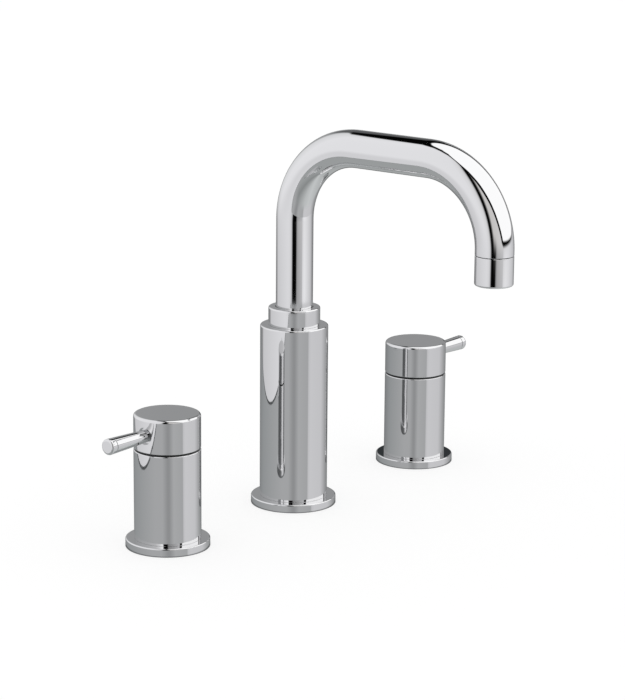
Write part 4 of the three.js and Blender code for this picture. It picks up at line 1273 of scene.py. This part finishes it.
WALL_FOOT_TONES = (
    (-180, "#dadadc"), (-168, "#d6d6d8"), (-159, "#bebec0"), (-154, "#303031"), (-151, "#040404"),
    (-132, "#040404"), (-129.5, "#707071"), (-125, "#9a9a9b"), (-94.5, "#b6b6b8"), (-90.5, "#dcdcde"),
    (-78, "#e8e8ea"), (-22, "#bebec0"), (-6, "#8e8e90"), (20, "#6a6a6b"), (60, "#747475"),
    (84, "#8a8a8b"), (94, "#c6c6c8"), (180, "#dadadc"),
)
WALL_TONES = (
    (-180, "#e0e0e2"), (-165, "#d6d6d7"), (-159, "#b8b8b9"), (-155, "#080808"), (-145, "#040404"),
    (-141, "#7a7978"), (-137, "#c6c4c2"), (-60, "#d7d7d9"), (-25, "#c0c0c2"), (-5, "#8c8c8d"),
    (48, "#8f9091"), (60, "#a0a1a2"), (69, "#d4d5d6"), (110, "#e4e4e6"), (180, "#e0e0e2"),
)
DIM_WALL_TONES = (
    (-180, "#c4c4c5"), (-168, "#e0e0e1"), (-158, "#ffffff"), (-155.5, "#080808"), (-144, "#040404"),
    (-141, "#8a8a8a"), (-100, "#c8c8c9"), (-85, "#ffffff"), (-50, "#ffffff"), (-25, "#c0c0c2"),
    (0, "#8c8c8d"), (60, "#949596"), (150, "#b2b3b4"), (180, "#c4c4c5"),
)

# An edge gives its softness in degrees, then the azimuths and elevations that it passes through
TABLE_END = (7, ((-180, -22), (180, -22)))
WALL_FOOT = (9, ((-180, 3), (-162, 3), (-154, 8), (-128, 8), (-120, 3), (180, 3)))
CARD_TOP = (0.6, ((-180, -60), (19, -60), (20, 15.7), (35.8, 15.7), (36.8, -60), (180, -60)))
HIGH_WALL_FOOT = (5, ((-180, 90), (14, 90), (25, 28), (56, 36), (66, 90), (180, 90)))
WALL_TOP = (
    1.8,
    (
        (-180, 75), (-165, 70), (-135, 53), (-120, 39.5), (-100, 10), (-93, 7), (-35, 9), (-20, 12),
        (-8, 18), (5, 30), (20, 41), (90, 69), (120, 76), (150, 77), (180, 75),
    ),
)
ROOF_EDGE = (
    1.2,
    (
        (-180, 82), (-150, 69), (-135, 64), (-120, 55), (-110, 42), (-100, 23), (-93, 12), (-35, 11),
        (-20, 13), (-8, 24), (5, 44), (20, 56), (60, 72), (90, 80), (120, 84), (180, 82),
    ),
)
# Light Path counts whole mirrors, and this lies between one and two
MORE_THAN_ONE = 1.5


def turn_share(azimuth):
    """How far round the tent an azimuth in degrees is, from nought to one."""
    return (azimuth + 180) / 360


def rise_share(elevation):
    """How high in the tent an elevation in degrees is, from nought to one."""
    return (elevation + 90) / 180


class SetStage(bpy.types.Operator):
    """Sets the pale floor, the soft lights and the camera"""

    bl_idname = "faucet.set_stage"
    bl_label = "Set stage"

    def camera(self, sizes):
        """The camera at the photograph's angle."""
        swing = Matrix.Rotation(sizes.azimuth, 3, "Z")
        tilt = Matrix.Rotation(math.radians(90) - sizes.elevation, 3, "X")
        facing = swing @ tilt @ Matrix.Rotation(sizes.roll, 3, "Z")
        right, up, back = facing.col
        aim = UP * sizes.aim_height
        data = bpy.data.cameras.new("Camera")
        data.lens = sizes.lens
        camera = bpy.data.objects.new("Camera", data)
        bpy.context.scene.collection.objects.link(camera)
        camera.location = aim + back * sizes.distance + right * sizes.shift_right + up * sizes.shift_up
        camera.rotation_euler = facing.to_euler()
        bpy.context.scene.camera = camera

    def background_rays(self, tree):
        """One for camera, glossy and transmission rays, and nought for the rays that carry light."""
        ray = add_node(tree, "ShaderNodeLightPath").outputs
        seen = ray["Is Camera Ray"]
        for name in ("Is Glossy Ray", "Is Transmission Ray"):
            seen = add_node(tree, "ShaderNodeMath", {0: seen, 1: ray[name]}, operation="MAXIMUM")
        return seen

    def floor(self, sizes, colours):
        """The pale floor, which takes the shadow and stays out of the reflections."""
        bpy.ops.object.select_all(action="DESELECT")
        bpy.ops.mesh.primitive_plane_add(size=sizes.floor_size, location=UP * -sizes.floor_drop)
        floor = bpy.context.object
        floor.name = "floor"
        material = new_material("pale floor")
        tree = material.node_tree
        board = add_node(tree, "ShaderNodeBsdfDiffuse", {"Color": opaque(colours.floor)})
        white = add_node(tree, "ShaderNodeEmission", {"Strength": 1})
        seen = self.background_rays(tree)
        glow = add_node(tree, "ShaderNodeMath", {0: seen, 1: sizes.floor_glow}, operation="MULTIPLY")
        blend = add_node(tree, "ShaderNodeMixShader", {0: glow, 1: board, 2: white})
        add_node(tree, "ShaderNodeOutputMaterial", {"Surface": blend})
        floor.data.materials.append(material)
        floor.visible_glossy = False

    def dark_places(self, tree, sizes, facing):
        """One on the rim of the table's straight side and just beside each flange, where little light
        gets in, and nought elsewhere."""
        place = add_node(tree, "ShaderNodeTexCoord").outputs["Object"]
        reach = add_node(tree, "ShaderNodeVectorMath", {0: place, 1: facing}, operation="DOT_PRODUCT")
        rim = sizes.table_side - sizes.table_rim
        dark = add_node(tree, "ShaderNodeMath", {0: reach, 1: rim}, operation="GREATER_THAN")
        for station in STATIONS:
            flange = half_width(f"{station}_flange")
            centre = station_centre(station)
            away = add_node(tree, "ShaderNodeVectorMath", {0: place, 1: centre}, operation="DISTANCE")
            span = {"Value": away, "From Min": flange + sizes.contact_shade, "From Max": flange}
            shade = add_node(tree, "ShaderNodeMapRange", span, interpolation_type="SMOOTHSTEP")
            dark = add_node(tree, "ShaderNodeMath", {0: dark, 1: shade}, operation="MAXIMUM")
        return dark

    def table(self, sizes, colours):
        """The grey table, which only reflections see. It is clear, and the tent shows its grey through
        it, apart from its dark places. What is under the deck is left out of the reflections."""
        bpy.ops.object.select_all(action="DESELECT")
        bpy.ops.mesh.primitive_circle_add(
            vertices=2 * sizes.tent_segments,
            radius=sizes.table_radius,
            fill_type="NGON",
            location=UP * -sizes.table_drop,
        )
        table = bpy.context.object
        table.name = "grey_table"
        facing = Vector((math.cos(sizes.table_side_facing), math.sin(sizes.table_side_facing), 0))
        open_edit(table)
        bpy.ops.mesh.bisect(plane_co=facing * sizes.table_side, plane_no=facing, clear_outer=True)
        close_edit()
        material = new_material("grey table")
        tree = material.node_tree
        clear = add_node(tree, "ShaderNodeBsdfTransparent")
        colour = opaque(colours.table_rim)
        shade = add_node(tree, "ShaderNodeEmission", {"Color": colour, "Strength": sizes.tent_strength})
        dark = self.dark_places(tree, sizes, facing)
        look = add_node(tree, "ShaderNodeMixShader", {0: dark, 1: clear, 2: shade})
        add_node(tree, "ShaderNodeOutputMaterial", {"Surface": look})
        self.show_in_reflections_only(table, material)
        for piece in bpy.context.scene.objects:
            if piece.type == "MESH" and min(corner[2] for corner in piece.bound_box) < -sizes.under_deck:
                piece.visible_glossy = False

    def show_in_reflections_only(self, prop, material):
        """Gives a prop its material, and hides it from all but glossy rays."""
        material.cycles.emission_sampling = "NONE"
        prop.data.materials.append(material)
        prop.visible_camera = False
        prop.visible_diffuse = False
        prop.visible_transmission = False
        prop.visible_volume_scatter = False
        prop.visible_shadow = False

    def tent(self, sizes, colours):
        """The light tent, which only reflections see: walls of cloth with dark gaps, and a lit roof."""
        bpy.ops.object.select_all(action="DESELECT")
        bpy.ops.mesh.primitive_uv_sphere_add(
            segments=sizes.tent_segments, ring_count=sizes.tent_segments // 2, radius=sizes.tent_radius
        )
        tent = bpy.context.object
        tent.name = "light_tent"
        bpy.ops.object.shade_smooth()
        material = new_material("tent cloth")
        tree = material.node_tree
        place = add_node(tree, "ShaderNodeTexCoord").outputs["Object"]
        ray = add_node(tree, "ShaderNodeVectorMath", {0: place}, operation="NORMALIZE")
        parts = add_node(tree, "ShaderNodeSeparateXYZ", {"Vector": ray}).outputs
        swing = add_node(tree, "ShaderNodeMath", {0: parts["Y"], 1: parts["X"]}, operation="ARCTAN2")
        span = {"Value": swing, "From Min": -math.pi, "From Max": math.pi}
        turn = add_node(tree, "ShaderNodeMapRange", span)
        rise = add_node(tree, "ShaderNodeMath", {0: parts["Z"]}, operation="ARCSINE")
        height = add_node(tree, "ShaderNodeMath", {0: rise}, operation="DEGREES")

        def tones(stops):
            """The tones of one table at the ray's azimuth."""
            ramp = add_node(tree, "ShaderNodeValToRGB", {"Fac": turn})
            elements = ramp.color_ramp.elements
            for azimuth, code in stops[1:-1]:
                elements.new(turn_share(azimuth))
            for element, (azimuth, code) in zip(elements, stops):
                element.color = opaque(linear(code))
            return ramp

        def over(edge):
            """One above an edge, nought below it, and a soft step between them."""
            softness, stops = edge
            curve = add_node(tree, "ShaderNodeFloatCurve", {"Value": turn})
            points = curve.mapping.curves[0].points
            for azimuth, elevation in stops[1:-1]:
                points.new(turn_share(azimuth), rise_share(elevation))
            for point, (azimuth, elevation) in zip(points, stops):
                point.location = (turn_share(azimuth), rise_share(elevation))
                point.handle_type = "VECTOR"
            curve.mapping.update()
            # The edge's elevation in degrees, made negative
            below = add_node(tree, "ShaderNodeMath", {0: curve, 1: -180, 2: 90}, operation="MULTIPLY_ADD")
            gap = add_node(tree, "ShaderNodeMath", {0: height, 1: below}, operation="ADD")
            span = {"Value": gap, "From Min": -softness, "From Max": softness}
            return add_node(tree, "ShaderNodeMapRange", span, interpolation_type="SMOOTHSTEP")

        def stack(look, *layers):
            """Lays looks over the first one, each where its mask is one."""
            for above, mask in layers:
                sockets = {"Factor": mask, "A": look, "B": above}
                look = add_node(tree, "ShaderNodeMix", sockets, data_type="RGBA")
            return look

        light = add_node(tree, "ShaderNodeLightPath").outputs
        # Light that met two mirrors sees the table in the first one's shade, and a dimmer wall
        mirrors = {0: light["Glossy Depth"], 1: MORE_THAN_ONE}
        twice = add_node(tree, "ShaderNodeMath", mirrors, operation="GREATER_THAN")
        table = stack(tones(TABLE_TONES), (tones(SHADED_TABLE_TONES), twice))
        table = stack(tones(STEEP_TONES), (table, over(TABLE_END)))
        wall = stack(tones(WALL_TONES), (tones(DIM_WALL_TONES), twice))
        wall = stack(opaque(colours.card), (wall, over(CARD_TOP)))
        # Rays that came through the clear table see its grey, and the others the foot of the wall
        look = stack(
            tones(WALL_FOOT_TONES),
            (table, light["Transparent Depth"]),
            (stack(wall, (opaque(colours.high_wall), over(HIGH_WALL_FOOT))), over(WALL_FOOT)),
            (opaque(colours.gap), over(WALL_TOP)),
            (opaque(colours.roof), over(ROOF_EDGE)),
        )
        cloth = add_node(tree, "ShaderNodeEmission", {"Color": look, "Strength": sizes.tent_strength})
        add_node(tree, "ShaderNodeOutputMaterial", {"Surface": cloth})
        self.show_in_reflections_only(tent, material)

    def world(self, sizes):
        """An even white world, a little brighter as a light than as a background."""
        world = bpy.data.worlds.new("Studio")
        bpy.context.scene.world = world
        world.use_nodes = True
        tree = world.node_tree
        tree.nodes.clear()
        white = (1, 1, 1, 1)
        soft = add_node(tree, "ShaderNodeBackground", {"Color": white, "Strength": sizes.sky_strength})
        plain = add_node(tree, "ShaderNodeBackground", {"Color": white, "Strength": 1})
        mix = add_node(tree, "ShaderNodeMixShader", {0: self.background_rays(tree), 1: soft, 2: plain})
        add_node(tree, "ShaderNodeOutputWorld", {"Surface": mix})

    def execute(self, context):
        sizes = context.scene.faucet_studio
        colours = context.scene.faucet_colours
        self.camera(sizes)
        self.floor(sizes, colours)
        self.table(sizes, colours)
        self.tent(sizes, colours)
        self.world(sizes)
        context.scene.view_settings.view_transform = "Standard"
        return {"FINISHED"}


class FaucetPanel(bpy.types.Panel):
    """Lists the faucet's sizes and its steps of making"""

    bl_idname = "VIEW3D_PT_faucet"
    bl_label = "Basin faucet"
    bl_space_type = "VIEW_3D"
    bl_region_type = "UI"
    bl_category = "Faucet"

    def draw(self, context):
        layout = self.layout
        for operator in OPERATORS:
            layout.operator(operator.bl_idname)
        for name, group in GROUPS.items():
            box = layout.box()
            box.label(text=group.__doc__)
            values = getattr(context.scene, f"faucet_{name}")
            for key in group.__annotations__:
                box.prop(values, key)


GROUPS = {
    "columns": ColumnSizes,
    "handles": HandleSizes,
    "spout": SpoutSizes,
    "hardware": HardwareSizes,
    "colours": FinishColours,
    "studio": StudioSizes,
}
OPERATORS = (
    MixFinishes, TurnFlanges, TurnSleeves, TurnHubs, TurnLevers, BendSpout, TurnAerator,
    TurnBodies, TurnPillar, TurnTee, StackClamps, MouldInsert, SetStage,
)


def register():
    for group in (*GROUPS.values(), *OPERATORS, FaucetPanel):
        bpy.utils.register_class(group)
    for name, group in GROUPS.items():
        setattr(bpy.types.Scene, f"faucet_{name}", PointerProperty(type=group))


def unregister():
    for name in GROUPS:
        delattr(bpy.types.Scene, f"faucet_{name}")
    for group in reversed((*GROUPS.values(), *OPERATORS, FaucetPanel)):
        bpy.utils.unregister_class(group)


def main():
    """Builds everything in order."""
    register()
    bpy.ops.faucet.mix_finishes()
    bpy.ops.faucet.turn_flanges()
    bpy.ops.faucet.turn_sleeves()
    bpy.ops.faucet.turn_hubs()
    bpy.ops.faucet.turn_levers()
    bpy.ops.faucet.bend_spout()
    bpy.ops.faucet.turn_aerator()
    bpy.ops.faucet.turn_bodies()
    bpy.ops.faucet.turn_pillar()
    bpy.ops.faucet.turn_tee()
    bpy.ops.faucet.stack_clamps()
    bpy.ops.faucet.mould_insert()
    bpy.ops.faucet.set_stage()


if __name__ == "__main__":
    main()
